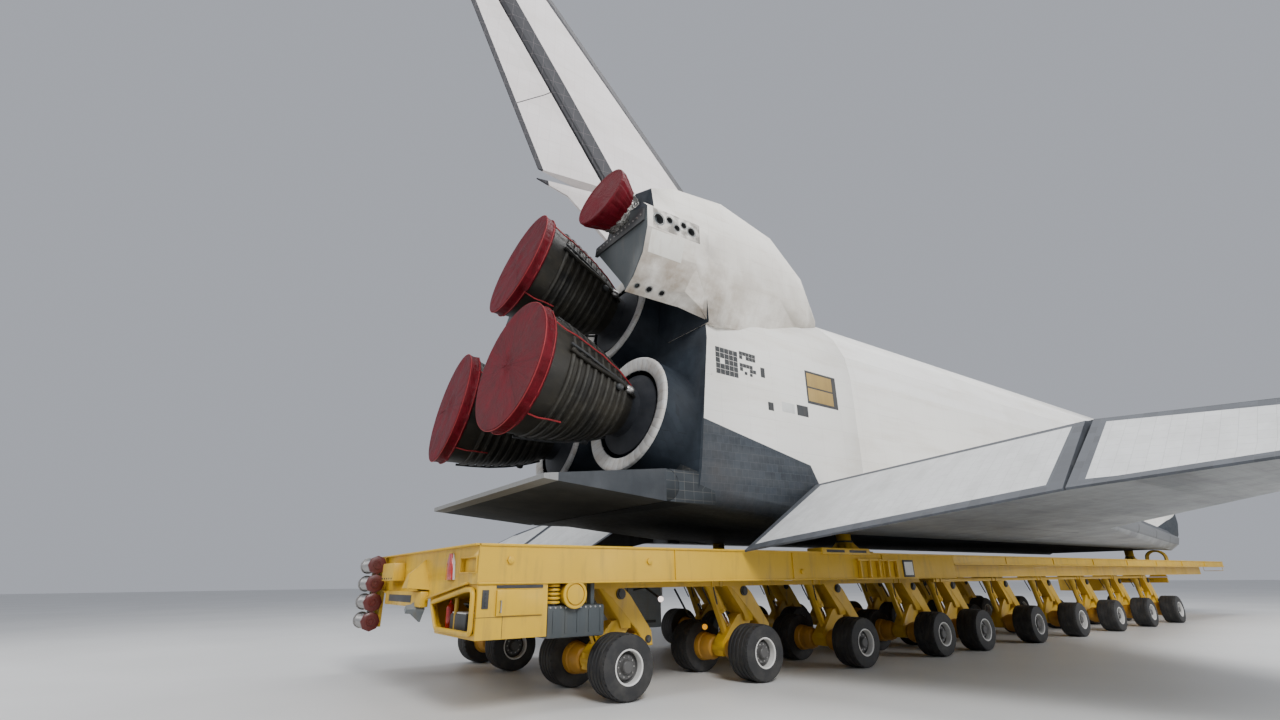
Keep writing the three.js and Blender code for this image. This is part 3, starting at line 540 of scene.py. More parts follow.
    @staticmethod
    def refined(
        node: Piece, name: str, degrees: float = 30.0, bevel: float = 0.0
    ) -> Piece:
        """A merged copy of a solid, shaded smooth, that stands for it.

        Args:
            node: The solid's object.
            name: The copy's name.
            degrees: Edges sharper than this stay sharp.
            bevel: The radius of its sharp edges.

        Returns:
            The copy.
        """
        made = Bench.copy(node, name, Matrix.Identity(4))
        made.data.materials.clear()
        Bench.edit(made)
        bpy.ops.mesh.select_all(action="SELECT")
        bpy.ops.mesh.remove_doubles(threshold=10 * MERGE)
        if bevel:
            bpy.ops.mesh.dissolve_limited(angle_limit=math.radians(1.0))
        bpy.ops.object.mode_set(mode="OBJECT")
        if bevel:
            Bench.modify(
                made, "BEVEL", width=bevel, segments=2, limit_method="ANGLE", angle_limit=math.radians(35)
            )
        return Bench.smooth(made, degrees)

    @staticmethod
    def touch(piece: Piece, start: Vector, aim: Vector) -> Optional[tuple[Vector, Vector]]:
        """Where a straight line first meets a piece, and the way its face looks there.

        Args:
            piece: The mesh object.
            start: Where the line starts.
            aim: The line's direction.

        Returns:
            The point and the normal, or None.
        """
        mesh = piece.data
        points = [vertex.co for vertex in mesh.vertices]
        tree = BVHTree.FromPolygons(points, [face.vertices for face in mesh.polygons])
        spot, normal, _, _ = tree.ray_cast(start, aim)
        return (spot, normal) if spot else None

    @staticmethod
    def paint(
        piece: Piece,
        materials: Sequence[Material],
        choose: Optional[Chooser] = None,
    ) -> Piece:
        """Gives a piece its materials, face by face where it has several.

        Args:
            piece: The mesh object.
            materials: Its materials.
            choose: Picks a material's number from a face's centre and normal.

        Returns:
            The same piece.
        """
        piece.data.materials.clear()
        for material in materials:
            piece.data.materials.append(material)
        for face in piece.data.polygons:
            face.material_index = choose(face.center, face.normal) if choose else 0
        return piece


class Graph:
    """A material's nodes, added one by one."""

    def __init__(self, name: str) -> None:
        """Starts a material with one principled shader.

        Args:
            name: The material's name.
        """
        self.material = bpy.data.materials.new(name)
        self.material.use_nodes = True
        self.tree = self.material.node_tree
        self.tree.nodes.clear()
        out = self.node("ShaderNodeOutputMaterial")
        self.shader = self.node("ShaderNodeBsdfPrincipled")
        self.link(self.shader.outputs[0], out.inputs["Surface"])
        coords = self.node("ShaderNodeTexCoord")
        self.spot = coords.outputs["Object"]
        self.uv = coords.outputs["UV"]

    def node(self, kind: str) -> bpy.types.Node:
        """Adds a node of a kind."""
        return self.tree.nodes.new(kind)

    def link(self, start: Socket, end: Socket) -> None:
        """Links two sockets."""
        self.tree.links.new(start, end)

    def put(self, socket: Socket, value: Union[Value, Colour, Vector]) -> None:
        """Sets a socket, or links to it.

        Args:
            socket: The socket to set.
            value: A number, a colour, a vector or another node's output.
        """
        if isinstance(value, bpy.types.NodeSocket):
            self.link(value, socket)
        elif isinstance(value, (int, float)):
            socket.default_value = value
        else:
            parts = tuple(value)
            opaque = len(socket.default_value) == 4 and len(parts) == 3
            socket.default_value = parts + (1.0,) if opaque else parts

    def set(self, **values: Union[Value, Colour]) -> None:
        """Sets the shader's sockets by name, with _ for a space."""
        for key, value in values.items():
            self.put(self.shader.inputs[key.replace("_", " ").title().replace("Ior", "IOR")], value)

    def colour(self, value: Union[Socket, Colour]) -> None:
        """Sets the shader's base colour."""
        self.put(self.shader.inputs["Base Color"], value)

    def maths(self, kind: str, first: Value, second: Value = 0.0, clamp: bool = False) -> Socket:
        """One operation on two values.

        Args:
            kind: The operation.
            first: The first value.
            second: The second value.
            clamp: Whether the result is held from 0 to 1.

        Returns:
            The result.
        """
        node = self.node("ShaderNodeMath")
        node.operation = kind
        node.use_clamp = clamp
        self.put(node.inputs[0], first)
        self.put(node.inputs[1], second)
        return node.outputs[0]

    def parts(self, vector: Socket) -> tuple[Socket, Socket, Socket]:
        """The X, Y and Z of a vector.

        Args:
            vector: The vector.

        Returns:
            The three values.
        """
        node = self.node("ShaderNodeSeparateXYZ")
        self.link(vector, node.inputs[0])
        return node.outputs[0], node.outputs[1], node.outputs[2]

    def vector(self, x: Value, y: Value, z: Value) -> Socket:
        """A vector of three values.

        Args:
            x: Its X.
            y: Its Y.
            z: Its Z.

        Returns:
            The vector.
        """
        node = self.node("ShaderNodeCombineXYZ")
        for socket, value in zip(node.inputs, (x, y, z)):
            self.put(socket, value)
        return node.outputs[0]

    def stretched(self, vector: Socket, scale: Place, offset: Place = (0, 0, 0)) -> Socket:
        """A vector scaled along each axis.

        Args:
            vector: The vector.
            scale: The factor for each axis.
            offset: What is added after that.

        Returns:
            The new vector.
        """
        node = self.node("ShaderNodeMapping")
        self.link(vector, node.inputs["Vector"])
        node.inputs["Scale"].default_value = scale
        node.inputs["Location"].default_value = offset
        return node.outputs[0]

    def noise(self, vector: Socket, scale: float, detail: float = 4.0, rough: float = 0.55) -> Socket:
        """Soft noise from 0 to 1.

        Args:
            vector: Where it is read.
            scale: Its fineness.
            detail: Its octaves.
            rough: How strong the fine ones are.

        Returns:
            The noise.
        """
        node = self.node("ShaderNodeTexNoise")
        self.link(vector, node.inputs["Vector"])
        node.inputs["Scale"].default_value = scale
        node.inputs["Detail"].default_value = detail
        node.inputs["Roughness"].default_value = rough
        return node.outputs[0]

    def cells(self, vector: Socket, scale: float) -> Socket:
        """Cell noise: a random value in each cell.

        Args:
            vector: Where it is read.
            scale: Its fineness.

        Returns:
            The value, from 0 to 1.
        """
        node = self.node("ShaderNodeTexVoronoi")
        self.link(vector, node.inputs["Vector"])
        node.inputs["Scale"].default_value = scale
        return self.parts(node.outputs["Color"])[0]

    def ramp(self, value: Socket, stops: Sequence[tuple[float, Union[float, Colour]]]) -> Socket:
        """A value turned into a colour or another value.

        Args:
            value: The value, from 0 to 1.
            stops: Places and what they give.

        Returns:
            The colour.
        """
        node = self.node("ShaderNodeValToRGB")
        self.link(value, node.inputs[0])
        bar = node.color_ramp.elements
        while len(bar) < len(stops):
            bar.new(0.5)
        for element, (spot, shade) in zip(bar, stops):
            element.position = spot
            tone = (shade,) * 3 if isinstance(shade, (int, float)) else tuple(shade)
            element.color = (*tone, 1.0)
        return node.outputs[0]

    def span(self, value: Socket, low: float, high: float, start: float = 0.0, end: float = 1.0) -> Socket:
        """A value moved from one range to another and held inside it.

        Args:
            value: The value.
            low: Where the first range starts.
            high: Where it ends.
            start: What the low end becomes.
            end: What the high end becomes.

        Returns:
            The new value.
        """
        node = self.node("ShaderNodeMapRange")
        for key, number in (("From Min", low), ("From Max", high), ("To Min", start), ("To Max", end)):
            node.inputs[key].default_value = number
        self.link(value, node.inputs["Value"])
        return node.outputs[0]

    def mix(self, share: Value, first: Union[Socket, Colour], second: Union[Socket, Colour]) -> Socket:
        """Two colours mixed.

        Args:
            share: How much of the second, from 0 to 1.
            first: The first colour.
            second: The second colour.

        Returns:
            The mixed colour.
        """
        node = self.node("ShaderNodeMix")
        node.data_type = "RGBA"
        self.put(node.inputs[0], share)
        self.put(node.inputs[6], first)
        self.put(node.inputs[7], second)
        return node.outputs[2]

    def fill(self, under: Union[Socket, Colour], mask: Socket, share: float, colour: Colour) -> Socket:
        """A colour laid over another by a share of a mask."""
        return self.mix(self.maths("MULTIPLY", mask, share), under, colour)

    def lay(
        self, under: Union[Socket, Colour], value: Socket, low: float, high: float, share: float,
        colour: Union[Socket, Colour],
    ) -> Socket:
        """A colour laid over another, more of it where a value is higher.

        Args:
            under: The colour below.
            value: What decides how much shows.
            low: Where none shows.
            high: Where the most shows.
            share: How much that is, from 0 to 1.
            colour: The colour on top.

        Returns:
            The mixed colour.
        """
        return self.mix(self.span(value, low, high, 0.0, share), under, colour)

    def tiles(
        self, u: Socket, v: Socket, width: float, height: float, gap: float, shift: float = 0.5
    ) -> tuple[Socket, Socket]:
        """A course of tiles.

        Args:
            u: Distance along the courses.
            v: Distance across them.
            width: A tile's width.
            height: A tile's height.
            gap: The width of the joint.
            shift: How far each course is moved, in tiles.

        Returns:
            The joint's share, and a random value for each tile.
        """
        node = self.node("ShaderNodeTexBrick")
        self.link(self.vector(u, v, 0.0), node.inputs["Vector"])
        node.offset = shift
        node.inputs["Scale"].default_value = 1.0
        node.inputs["Color1"].default_value = (0, 0, 0, 1)
        node.inputs["Color2"].default_value = (1, 1, 1, 1)
        node.inputs["Mortar"].default_value = (0.5, 0.5, 0.5, 1)
        node.inputs["Brick Width"].default_value = width
        node.inputs["Row Height"].default_value = height
        node.inputs["Mortar Size"].default_value = gap / 2
        node.inputs["Mortar Smooth"].default_value = 0.1
        return node.outputs["Fac"], self.parts(node.outputs["Color"])[0]

    def bump(self, height: Socket, strength: float, distance: float) -> None:
        """Roughens the surface by a height, after what was set before.

        Args:
            height: The height, from 0 to 1.
            strength: How much of it shows.
            distance: The height's size in metres.
        """
        node = self.node("ShaderNodeBump")
        node.inputs["Strength"].default_value = strength
        node.inputs["Distance"].default_value = distance
        self.link(height, node.inputs["Height"])
        before = self.shader.inputs["Normal"].links
        if before:
            self.link(before[0].from_socket, node.inputs["Normal"])
        self.link(node.outputs[0], self.shader.inputs["Normal"])

    def above(self, value: Socket, limit: Value) -> Socket:
        """1 where a value is over a limit, and else 0."""
        return self.maths("GREATER_THAN", value, limit)

    def between(self, value: Socket, low: Value, high: Value) -> Socket:
        """1 where a value is between two limits, and else 0.

        Args:
            value: The value.
            low: The lower limit.
            high: The upper limit.

        Returns:
            The mask.
        """
        over = self.maths("GREATER_THAN", value, low)
        under = self.maths("LESS_THAN", value, high)
        return self.maths("MULTIPLY", over, under)

    def outline(self, u: Socket, v: Socket, box: tuple[float, float, float, float], width: float) -> Socket:
        """1 on the outline of a rectangle, and else 0.

        Args:
            u: The first coordinate.
            v: The second coordinate.
            box: The lowest u, the lowest v, the highest u and the highest v.
            width: The line's width.

        Returns:
            The mask.
        """
        u0, v0, u1, v1 = box
        outer = self.maths("MULTIPLY", self.between(u, u0, u1), self.between(v, v0, v1))
        across = self.between(u, u0 + width, u1 - width)
        inner = self.maths("MULTIPLY", across, self.between(v, v0 + width, v1 - width))
        return self.maths("SUBTRACT", outer, inner)

    def level(self, value: Socket, low: float, high: float, stops: Sequence[Row]) -> Socket:
        """A height that follows a line of points, straight between them.

        Args:
            value: What runs along the line.
            low: Where the line starts.
            high: Where it ends.
            stops: Points of the line: place and height, heights from 0 to 20.

        Returns:
            The height.
        """
        run = self.span(value, low, high)
        marks = sorted(((spot - low) / (high - low), height / 20.0) for spot, height in stops)
        return self.maths("MULTIPLY", self.parts(self.ramp(run, marks))[0], 20.0)


@dataclass(frozen=True)
class Finish:
    """What every finish has: a name, and the nodes that it lays out."""

    name: str

    def build(self) -> Material:
        """Makes the material.

        Returns:
            The material.
        """
        g = Graph(self.name)
        self.shade(g)
        return g.material

    def shade(self, g: Graph) -> None:
        """Lays out the nodes, each finish in its own way.

        Args:
            g: The graph that they go into.
        """
        raise NotImplementedError


@dataclass(frozen=True)
class ThermalSkin(Finish):
    """Tiles and quilted blankets: white above a dark edge line, blue-black below it."""

    white: Colour = (0.78, 0.765, 0.72)
    dark: Colour = (0.02, 0.026, 0.034)
    edge: tuple[Row, ...] = (
        (238, 352), (300, 346), (365, 337), (455, 322), (520, 312), (578, 300), (1307, 288),
        (1360, 294), (1372, 304), (1379, 319), (1499, 343),
    )
    rough: float = 0.72

    def shade(self, g: Graph) -> None:
        """Lays out the nodes.

        Args:
            g: The graph that they go into.
        """
        x, y, z = g.parts(g.spot)
        stops = [(x_of(xo), z_of(zo)) for xo, zo in self.edge]
        line = g.level(x, x_of(1510), x_of(230), stops)
        under = g.maths("LESS_THAN", z, line)
        brow = g.maths("MULTIPLY", g.between(x, x_of(458), x_of(403)), g.above(z, z_of(388)))
        nose_door = g.outline(x, y, (x_of(392), -20 * INCH, x_of(296), 20 * INCH), 0.018)
        nose_door = g.maths("MULTIPLY", nose_door, g.maths("LESS_THAN", z, z_of(300)))
        around = g.maths("ADD", g.maths("ABSOLUTE", y), z)
        joint, pick = g.tiles(x, around, TILE, TILE, 0.006)
        seam, quilt = g.tiles(x, around, 0.76, 0.62, 0.008, 0.0)
        streak = g.noise(g.stretched(g.spot, (0.35, 2.6, 2.6)), 1.2, 6.0, 0.6)
        stain = g.noise(g.spot, 0.55, 5.0, 0.6)
        fine = g.noise(g.spot, 9.0, 4.0, 0.6)
        pale = g.lay(self.white, quilt, 0, 1, 0.16, tinted(self.white, 0.82))
        pale = g.lay(pale, streak, 0.48, 0.75, 0.35, (0.52, 0.46, 0.37))
        pale = g.lay(pale, stain, 0.5, 0.8, 0.3, (0.6, 0.55, 0.46))
        pale = g.fill(pale, seam, 0.3, (0.42, 0.4, 0.37))
        deep = g.lay(self.dark, pick, 0, 1, 0.5, tinted(self.dark, 1.9))
        deep = g.lay(deep, streak, 0.42, 0.72, 0.55, (0.07, 0.075, 0.08))
        deep = g.lay(deep, stain, 0.55, 0.78, 0.35, (0.09, 0.065, 0.045))
        deep = g.fill(deep, joint, 0.55, (0.09, 0.095, 0.1))
        tone = g.mix(g.maths("MAXIMUM", under, brow), pale, deep)
        g.colour(g.mix(nose_door, tone, (0.008, 0.009, 0.01)))
        g.set(roughness=g.span(fine, 0.3, 0.7, self.rough - 0.1, self.rough + 0.1))
        g.bump(g.maths("ADD", g.maths("MULTIPLY", joint, under), seam), 0.4, 0.004)
        g.bump(fine, 0.25, 0.003)


@dataclass(frozen=True)
class BaseShield(Finish):
    """The dark tiles of the aft base, blue-black with paler patches."""

    name: str = "base_shield"
    dark: Colour = (0.006, 0.009, 0.014)
    pale: Colour = (0.026, 0.035, 0.046)

    def shade(self, g: Graph) -> None:
        """Lays out the nodes.

        Args:
            g: The graph that they go into.
        """
        x, y, z = g.parts(g.spot)
        joint, pick = g.tiles(y, g.maths("ADD", z, x), 0.2, 0.2, 0.006)
        patch = g.noise(g.spot, 0.9, 6.0, 0.6)
        tone = g.lay(self.dark, patch, 0.35, 0.7, 1.0, self.pale)
        tone = g.lay(tone, pick, 0, 1, 0.35, self.dark)
        g.colour(g.fill(tone, joint, 0.5, (0.01, 0.012, 0.015)))
        g.set(roughness=0.62, specular_ior_level=0.22)
        g.bump(joint, 0.5, 0.004)


@dataclass(frozen=True)
class StubTile(Finish):
    """Large dark tiles with pale joints, as behind the flap stub."""

    name: str = "stub_tile"
    dark: Colour = (0.018, 0.023, 0.028)
    line: Colour = (0.085, 0.085, 0.08)

    def shade(self, g: Graph) -> None:
        """Lays out the nodes.

        Args:
            g: The graph that they go into.
        """
        x, y, z = g.parts(g.spot)
        joint, pick = g.tiles(g.maths("ADD", x, y), z, 0.21, 0.155, 0.009, 0.0)
        patch = g.noise(g.spot, 1.3, 5.0, 0.6)
        tone = g.lay(self.dark, pick, 0, 1, 0.6, tinted(self.dark, 1.8))
        tone = g.lay(tone, patch, 0.5, 0.75, 0.6, (0.07, 0.06, 0.045))
        g.colour(g.mix(joint, tone, self.line))
        g.set(roughness=0.75)
        g.bump(joint, 0.5, 0.004)


@dataclass(frozen=True)
class FlapSkin(Finish):
    """The body flap's worn tiles: grey-brown below, with a pale trailing edge."""

    name: str = "flap_skin"
    base: Colour = (0.032, 0.037, 0.043)
    edge_xo: float = 1614.0

    def shade(self, g: Graph) -> None:
        """Lays out the nodes.

        Args:
            g: The graph that they go into.
        """
        x, y, _ = g.parts(g.spot)
        joint, pick = g.tiles(x, y, TILE, TILE, 0.005)
        streak = g.noise(g.stretched(g.spot, (0.5, 3.0, 3.0)), 1.1, 6.0, 0.62)
        mottle = g.noise(g.spot, 1.7, 5.0, 0.6)
        tone = g.lay(self.base, mottle, 0.35, 0.7, 1.0, (0.06, 0.065, 0.072))
        tone = g.lay(tone, streak, 0.5, 0.75, 0.6, (0.024, 0.027, 0.031))
        tone = g.lay(tone, pick, 0, 1, 0.25, (0.05, 0.054, 0.06))
        tail = g.maths("LESS_THAN", x, x_of(self.edge_xo))
        tone = g.fill(tone, tail, 0.6, (0.36, 0.36, 0.35))
        g.colour(g.fill(tone, joint, 0.3, (0.03, 0.03, 0.03)))
        g.set(roughness=0.78, specular_ior_level=0.3)
        g.bump(joint, 0.35, 0.003)


@dataclass(frozen=True)
class WingSkin(Finish):
    """The wing: white above with dark edges, weathered grey below, carbon along the leading edge."""

    upper: bool
    white: Colour = (0.74, 0.73, 0.7)
    grey: Colour = (0.27, 0.28, 0.29)
    lead: tuple[Row, ...] = ((90, 433), (105, 517), (199, 1038), (312, 1151), (468, 1307))
    carbon_depth: float = 0.32
    band_xo: float = 1366.0

    def shade(self, g: Graph) -> None:
        """Lays out the nodes.

        Args:
            g: The graph that they go into.
        """
        x, y, _ = g.parts(g.spot)
        out = g.maths("ABSOLUTE", y)
        stops = [(w * INCH, (xo - 400) * INCH * 0.8) for w, xo in self.lead]
        aft = g.maths("SUBTRACT", x_of(400), x)
        line = g.maths("DIVIDE", g.level(out, 90 * INCH, 468 * INCH, stops), 0.8)
        behind = g.maths("SUBTRACT", aft, line)
        carbon = g.maths("LESS_THAN", behind, self.carbon_depth)
        joint, pick = g.tiles(x, y, TILE, TILE, 0.005)
        streak = g.noise(g.stretched(g.spot, (0.3, 2.2, 2.2)), 1.0, 6.0, 0.62)
        if self.upper:
            near = g.maths("LESS_THAN", behind, 3.2 * self.carbon_depth)
            tone = g.lay(self.white, streak, 0.45, 0.75, 0.3, (0.5, 0.47, 0.42))
            tone = g.mix(near, tone, (0.07, 0.075, 0.085))
        else:
            mottle = g.noise(g.spot, 0.8, 5.0, 0.6)
            tone = g.lay(self.grey, mottle, 0.35, 0.7, 1.0, (0.4, 0.41, 0.41))
            tone = g.lay(tone, streak, 0.5, 0.78, 0.65, (0.14, 0.14, 0.145))
            tone = g.lay(tone, pick, 0, 1, 0.22, (0.12, 0.125, 0.13))
            door = g.outline(x, out, (x_of(1195), 108 * INCH, x_of(1048), 168 * INCH), 0.02)
            tone = g.mix(door, tone, (0.02, 0.02, 0.022))
        band = g.maths("LESS_THAN", x, x_of(self.band_xo))
        tone = g.mix(band, tone, (0.05, 0.055, 0.065))
        tone = g.fill(tone, joint, 0.35, (0.05, 0.05, 0.055))
        rib, _ = g.tiles(out, aft, 0.72, 9.0, 0.02, 0.0)
        edge = g.mix(rib, (0.15, 0.155, 0.16), (0.03, 0.03, 0.03))
        g.colour(g.mix(carbon, tone, edge))
        g.set(roughness=0.66)
        g.bump(joint, 0.3, 0.003)


@dataclass(frozen=True)
class ElevonSkin(Finish):
    """An elevon: a pale panel inside a dark border."""

    inner: tuple[float, float]
    outer: tuple[float, float]
    hinge_xo: float = 1387.0
    droop: float = 19.0  # how far it hangs at rest, in degrees
    border: float = 0.17
    pale: Colour = (0.6, 0.61, 0.61)
    dark: Colour = (0.05, 0.055, 0.065)

    def shade(self, g: Graph) -> None:
        """Lays out the nodes.

        Args:
            g: The graph that they go into.
        """
        x, y, _ = g.parts(g.spot)
        out = g.maths("ABSOLUTE", y)
        (y0, chord0), (y1, chord1) = self.inner, self.outer
        droop = math.cos(math.radians(self.droop))
        share = g.span(out, y0 * INCH, y1 * INCH)
        shorter = g.maths("MULTIPLY", share, (chord0 - chord1) * INCH * droop)
        tail = g.maths("ADD", x_of(self.hinge_xo + chord0 * droop), shorter)
        ahead = g.maths("SUBTRACT", x, tail)
        rim = g.maths("LESS_THAN", ahead, self.border)
        rim = g.maths("MAXIMUM", rim, g.maths("LESS_THAN", out, y0 * INCH + self.border))
        rim = g.maths("MAXIMUM", rim, g.maths("GREATER_THAN", out, y1 * INCH - self.border))
        rim = g.maths("MAXIMUM", rim, g.above(x, x_of(self.hinge_xo + 9)))
        joint, pick = g.tiles(x, y, TILE, TILE, 0.005)
        streak = g.noise(g.stretched(g.spot, (0.4, 2.4, 2.4)), 1.2, 6.0, 0.62)
        tone = g.lay(self.pale, streak, 0.42, 0.75, 0.5, (0.38, 0.38, 0.37))
        tone = g.lay(tone, pick, 0, 1, 0.12, (0.3, 0.3, 0.3))
        dark = g.lay(self.dark, pick, 0, 1, 0.4, tinted(self.dark, 2))
        tone = g.mix(rim, tone, dark)
        g.colour(g.fill(tone, joint, 0.3, (0.1, 0.1, 0.1)))
        g.set(roughness=0.7)
        g.bump(joint, 0.3, 0.003)


@dataclass(frozen=True)
class FinSkin(Finish):
    """The fin and rudder: pale panels between dark edge bands that lean with the fin."""

    pale: Colour = (0.76, 0.72, 0.71)
    dark: Colour = (0.035, 0.035, 0.04)
    lead: tuple[Row, Row] = ((1366.0, 590.0), (1577.6, 803.0))
    hinge: tuple[Row, Row, float] = ((1535.3, 608.4), (1647.7, 765.7), 22.0)
    tail: tuple[Row, Row] = ((1589.5, 589.0), (1692.7, 800.0))
    split: tuple[Row, Row] = ((1586.7, 681.7), (1623.8, 653.2))

    def shade(self, g: Graph) -> None:
        """Lays out the nodes.

        Args:
            g: The graph that they go into.
        """
        x, _, z = g.parts(g.spot)

        def behind(start: Row, end: Row) -> Socket:
            """How far aft of a leaning line a point is, in metres, measured square to it.

            Args:
                start: The line's lower end, as stations.
                end: Its upper end.

            Returns:
                The distance.
            """
            (xa, za), (xb, zb) = start, end
            length = math.hypot(xb - xa, zb - za)
            nx, nz = (zb - za) / length, -(xb - xa) / length
            offset = -(x_of(xa) * -nx + z_of(za) * nz)
            leaning = g.maths("ADD", g.maths("MULTIPLY", x, -nx), g.maths("MULTIPLY", z, nz))
            return g.maths("ADD", leaning, offset)

        front = g.maths("LESS_THAN", behind(*self.lead), 0.3)
        start, end, width = self.hinge
        gap = behind(start, end)
        band = g.between(gap, -width * INCH, 0.0)
        rear = g.above(behind(*self.tail), -0.11)
        seam = g.between(behind(*self.split), -0.012, 0.012)
        seam = g.maths("MULTIPLY", seam, g.above(gap, 0.0))
        mask = g.maths("MAXIMUM", g.maths("MAXIMUM", front, band), g.maths("MAXIMUM", rear, seam))
        joint, pick = g.tiles(x, z, 0.3, 0.3, 0.006, 0.0)
        streak = g.noise(g.stretched(g.spot, (0.5, 2.0, 1.6)), 1.0, 6.0, 0.6)
        tone = g.lay(self.pale, streak, 0.45, 0.75, 0.35, (0.5, 0.45, 0.4))
        tone = g.lay(tone, pick, 0, 1, 0.14, (0.55, 0.5, 0.5))
        tone = g.mix(mask, tone, self.dark)
        g.colour(g.fill(tone, joint, 0.35, (0.35, 0.3, 0.3)))
        g.set(roughness=0.7)
        g.bump(joint, 0.3, 0.003)


@dataclass(frozen=True)
class PodSkin(Finish):
    """The manoeuvring pod's blankets: cream with brown staining towards its lower rear."""

    name: str = "pod_skin"
    cream: Colour = (0.78, 0.75, 0.69)
    brown: Colour = (0.22, 0.155, 0.095)
    soot: Colour = (0.13, 0.12, 0.105)

    def shade(self, g: Graph) -> None:
        """Lays out the nodes.

        Args:
            g: The graph that they go into.
        """
        x, y, z = g.parts(g.spot)
        around = g.maths("ADD", g.maths("ABSOLUTE", y), z)
        seam, quilt = g.tiles(x, around, 0.42, 0.36, 0.006, 0.0)
        blotch = g.noise(g.spot, 1.35, 7.0, 0.62)
        streak = g.noise(g.stretched(g.spot, (0.5, 2.5, 2.5)), 1.6, 6.0, 0.62)
        low = g.span(z, z_of(430), z_of(500), 1.0, 0.0)
        rear = g.span(x, x_of(1530), x_of(1440), 1.0, 0.55)
        stain = g.maths("MULTIPLY", g.span(low, 0.0, 1.0, 0.08, 1.0), rear)
        worn = g.maths("MULTIPLY", g.span(blotch, 0.3, 0.6), stain, clamp=True)
        across = g.between(x, x_of(1556), x_of(1511))
        zone = g.maths("MULTIPLY", across, g.between(z, z_of(474.5), z_of(492.5)))
        fired = g.maths("MULTIPLY", zone, g.span(g.noise(g.spot, 5.5, 4.0), 0.4, 0.6, 0.12, 0.85))
        tone = g.lay(self.cream, quilt, 0, 1, 0.12, (0.62, 0.6, 0.55))
        tone = g.lay(tone, streak, 0.5, 0.78, 0.4, (0.5, 0.44, 0.36))
        tone = g.mix(worn, tone, self.brown)
        tone = g.mix(fired, tone, self.soot)
        g.colour(g.fill(tone, seam, 0.35, (0.35, 0.3, 0.25)))
        g.set(roughness=0.75)
        g.bump(seam, 0.35, 0.004)
        g.bump(g.noise(g.spot, 14.0, 3.0), 0.2, 0.004)


@dataclass(frozen=True)
class CarbonEdge(Finish):
    """Grey reinforced carbon, satin with fine mottling."""

    name: str = "carbon_edge"
    base: Colour = (0.12, 0.125, 0.13)

    def shade(self, g: Graph) -> None:
        """Lays out the nodes.

        Args:
            g: The graph that they go into.
        """
        mottle = g.noise(g.spot, 3.0, 6.0, 0.6)
        g.colour(g.lay(self.base, mottle, 0.3, 0.7, 1.0, tinted(self.base, 1.9)))
        g.set(roughness=g.span(mottle, 0.3, 0.7, 0.45, 0.65))
        g.bump(g.noise(g.spot, 30.0, 3.0), 0.15, 0.002)


@dataclass(frozen=True)
class BellMetal(Finish):
    """Heat-stained engine metal, near black, with painted highlights on the crests of its bands."""

    base: Colour = (0.008, 0.008, 0.008)
    warm: Colour = (0.03, 0.026, 0.018)
    # The colour of the painted highlight on the bands' crests.
    crest_highlight: Colour = (0.075, 0.072, 0.062)
    first: float = 86.0
    step: float = 7.0
    last: float = 143.5

    def shade(self, g: Graph) -> None:
        """Lays out the nodes.

        Args:
            g: The graph that they go into.
        """
        turn, along, _ = g.parts(g.uv)
        tubes = g.maths("SINE", g.maths("MULTIPLY", turn, 2 * math.pi * 240))
        stain = g.noise(g.spot, 1.5, 7.0, 0.65)
        scorch = g.noise(g.vector(g.maths("MULTIPLY", turn, 26.0), along, 0.0), 2.2, 5.0, 0.6)
        phase = g.maths("SUBTRACT", along, self.first * INCH)
        phase = g.maths("MULTIPLY", phase, 2 * math.pi / (self.step * INCH))
        # Painted highlight: the bands' crests, broken up by the scorch noise, are lightened towards the
        # crest colour.
        top = g.span(g.maths("COSINE", phase), 0.55, 1.0)
        banded = g.between(along, (self.first - 4) * INCH, self.last * INCH)
        worn = g.maths("MULTIPLY", g.maths("MULTIPLY", top, banded), g.span(scorch, 0.3, 0.6))
        tone = g.lay(self.base, stain, 0.32, 0.7, 1.0, self.warm)
        tone = g.lay(tone, scorch, 0.55, 0.8, 0.5, (0.06, 0.056, 0.048))
        tone = g.fill(tone, worn, 0.6, self.crest_highlight)
        g.colour(tone)
        g.set(metallic=0.1, roughness=g.span(stain, 0.3, 0.7, 0.36, 0.58), specular_ior_level=0.32)
        g.bump(g.span(tubes, -1, 1), 0.2, 0.003)
        g.bump(g.noise(g.spot, 12.0, 4.0), 0.15, 0.004)


@dataclass(frozen=True)
class CoverVinyl(Finish):
    """Dark red coated fabric with pulled creases and a fine weave, painted highlights on its wrinkles and
    painted shade in its creases.
    """

    name: str = "cover_vinyl"
    base: Colour = (0.07, 0.001, 0.004)
    # The cloth's lit colour, painted on the wrinkles as a highlight.
    light: Colour = (0.135, 0.0035, 0.011)

    def shade(self, g: Graph) -> None:
        """Lays out the nodes.

        Args:
            g: The graph that they go into.
        """
        turn, along, _ = g.parts(g.uv)
        x, y, z = g.parts(g.spot)
        wrinkle = g.noise(g.stretched(g.spot, (2.6, 0.9, 0.9)), 2.6, 7.0, 0.66)
        wrap = g.vector(g.maths("MULTIPLY", turn, 34.0), g.maths("MULTIPLY", along, 1.1), 0.0)
        crease = g.noise(wrap, 1.6, 5.0)
        soft = g.noise(g.spot, 0.9, 3.0)
        weave = g.maths(
            "MULTIPLY",
            g.maths("SINE", g.maths("MULTIPLY", g.maths("ADD", x, y), 900.0)),
            g.maths("SINE", g.maths("MULTIPLY", z, 900.0)),
        )
        # Painted highlight: the lit colour where the wrinkles rise.
        tone = g.lay(self.base, wrinkle, 0.35, 0.72, 1.0, self.light)
        # Painted shade: the cloth darkened in its creases.
        g.colour(g.lay(tone, crease, 0.55, 0.75, 0.5, tinted(self.base, 0.5)))
        g.set(roughness=g.span(wrinkle, 0.3, 0.7, 0.42, 0.62), specular_ior_level=0.16)
        g.bump(crease, 0.7, 0.035)
        g.bump(wrinkle, 0.6, 0.045)
        g.bump(soft, 0.4, 0.06)
        g.bump(g.span(weave, -1, 1), 0.08, 0.0005)


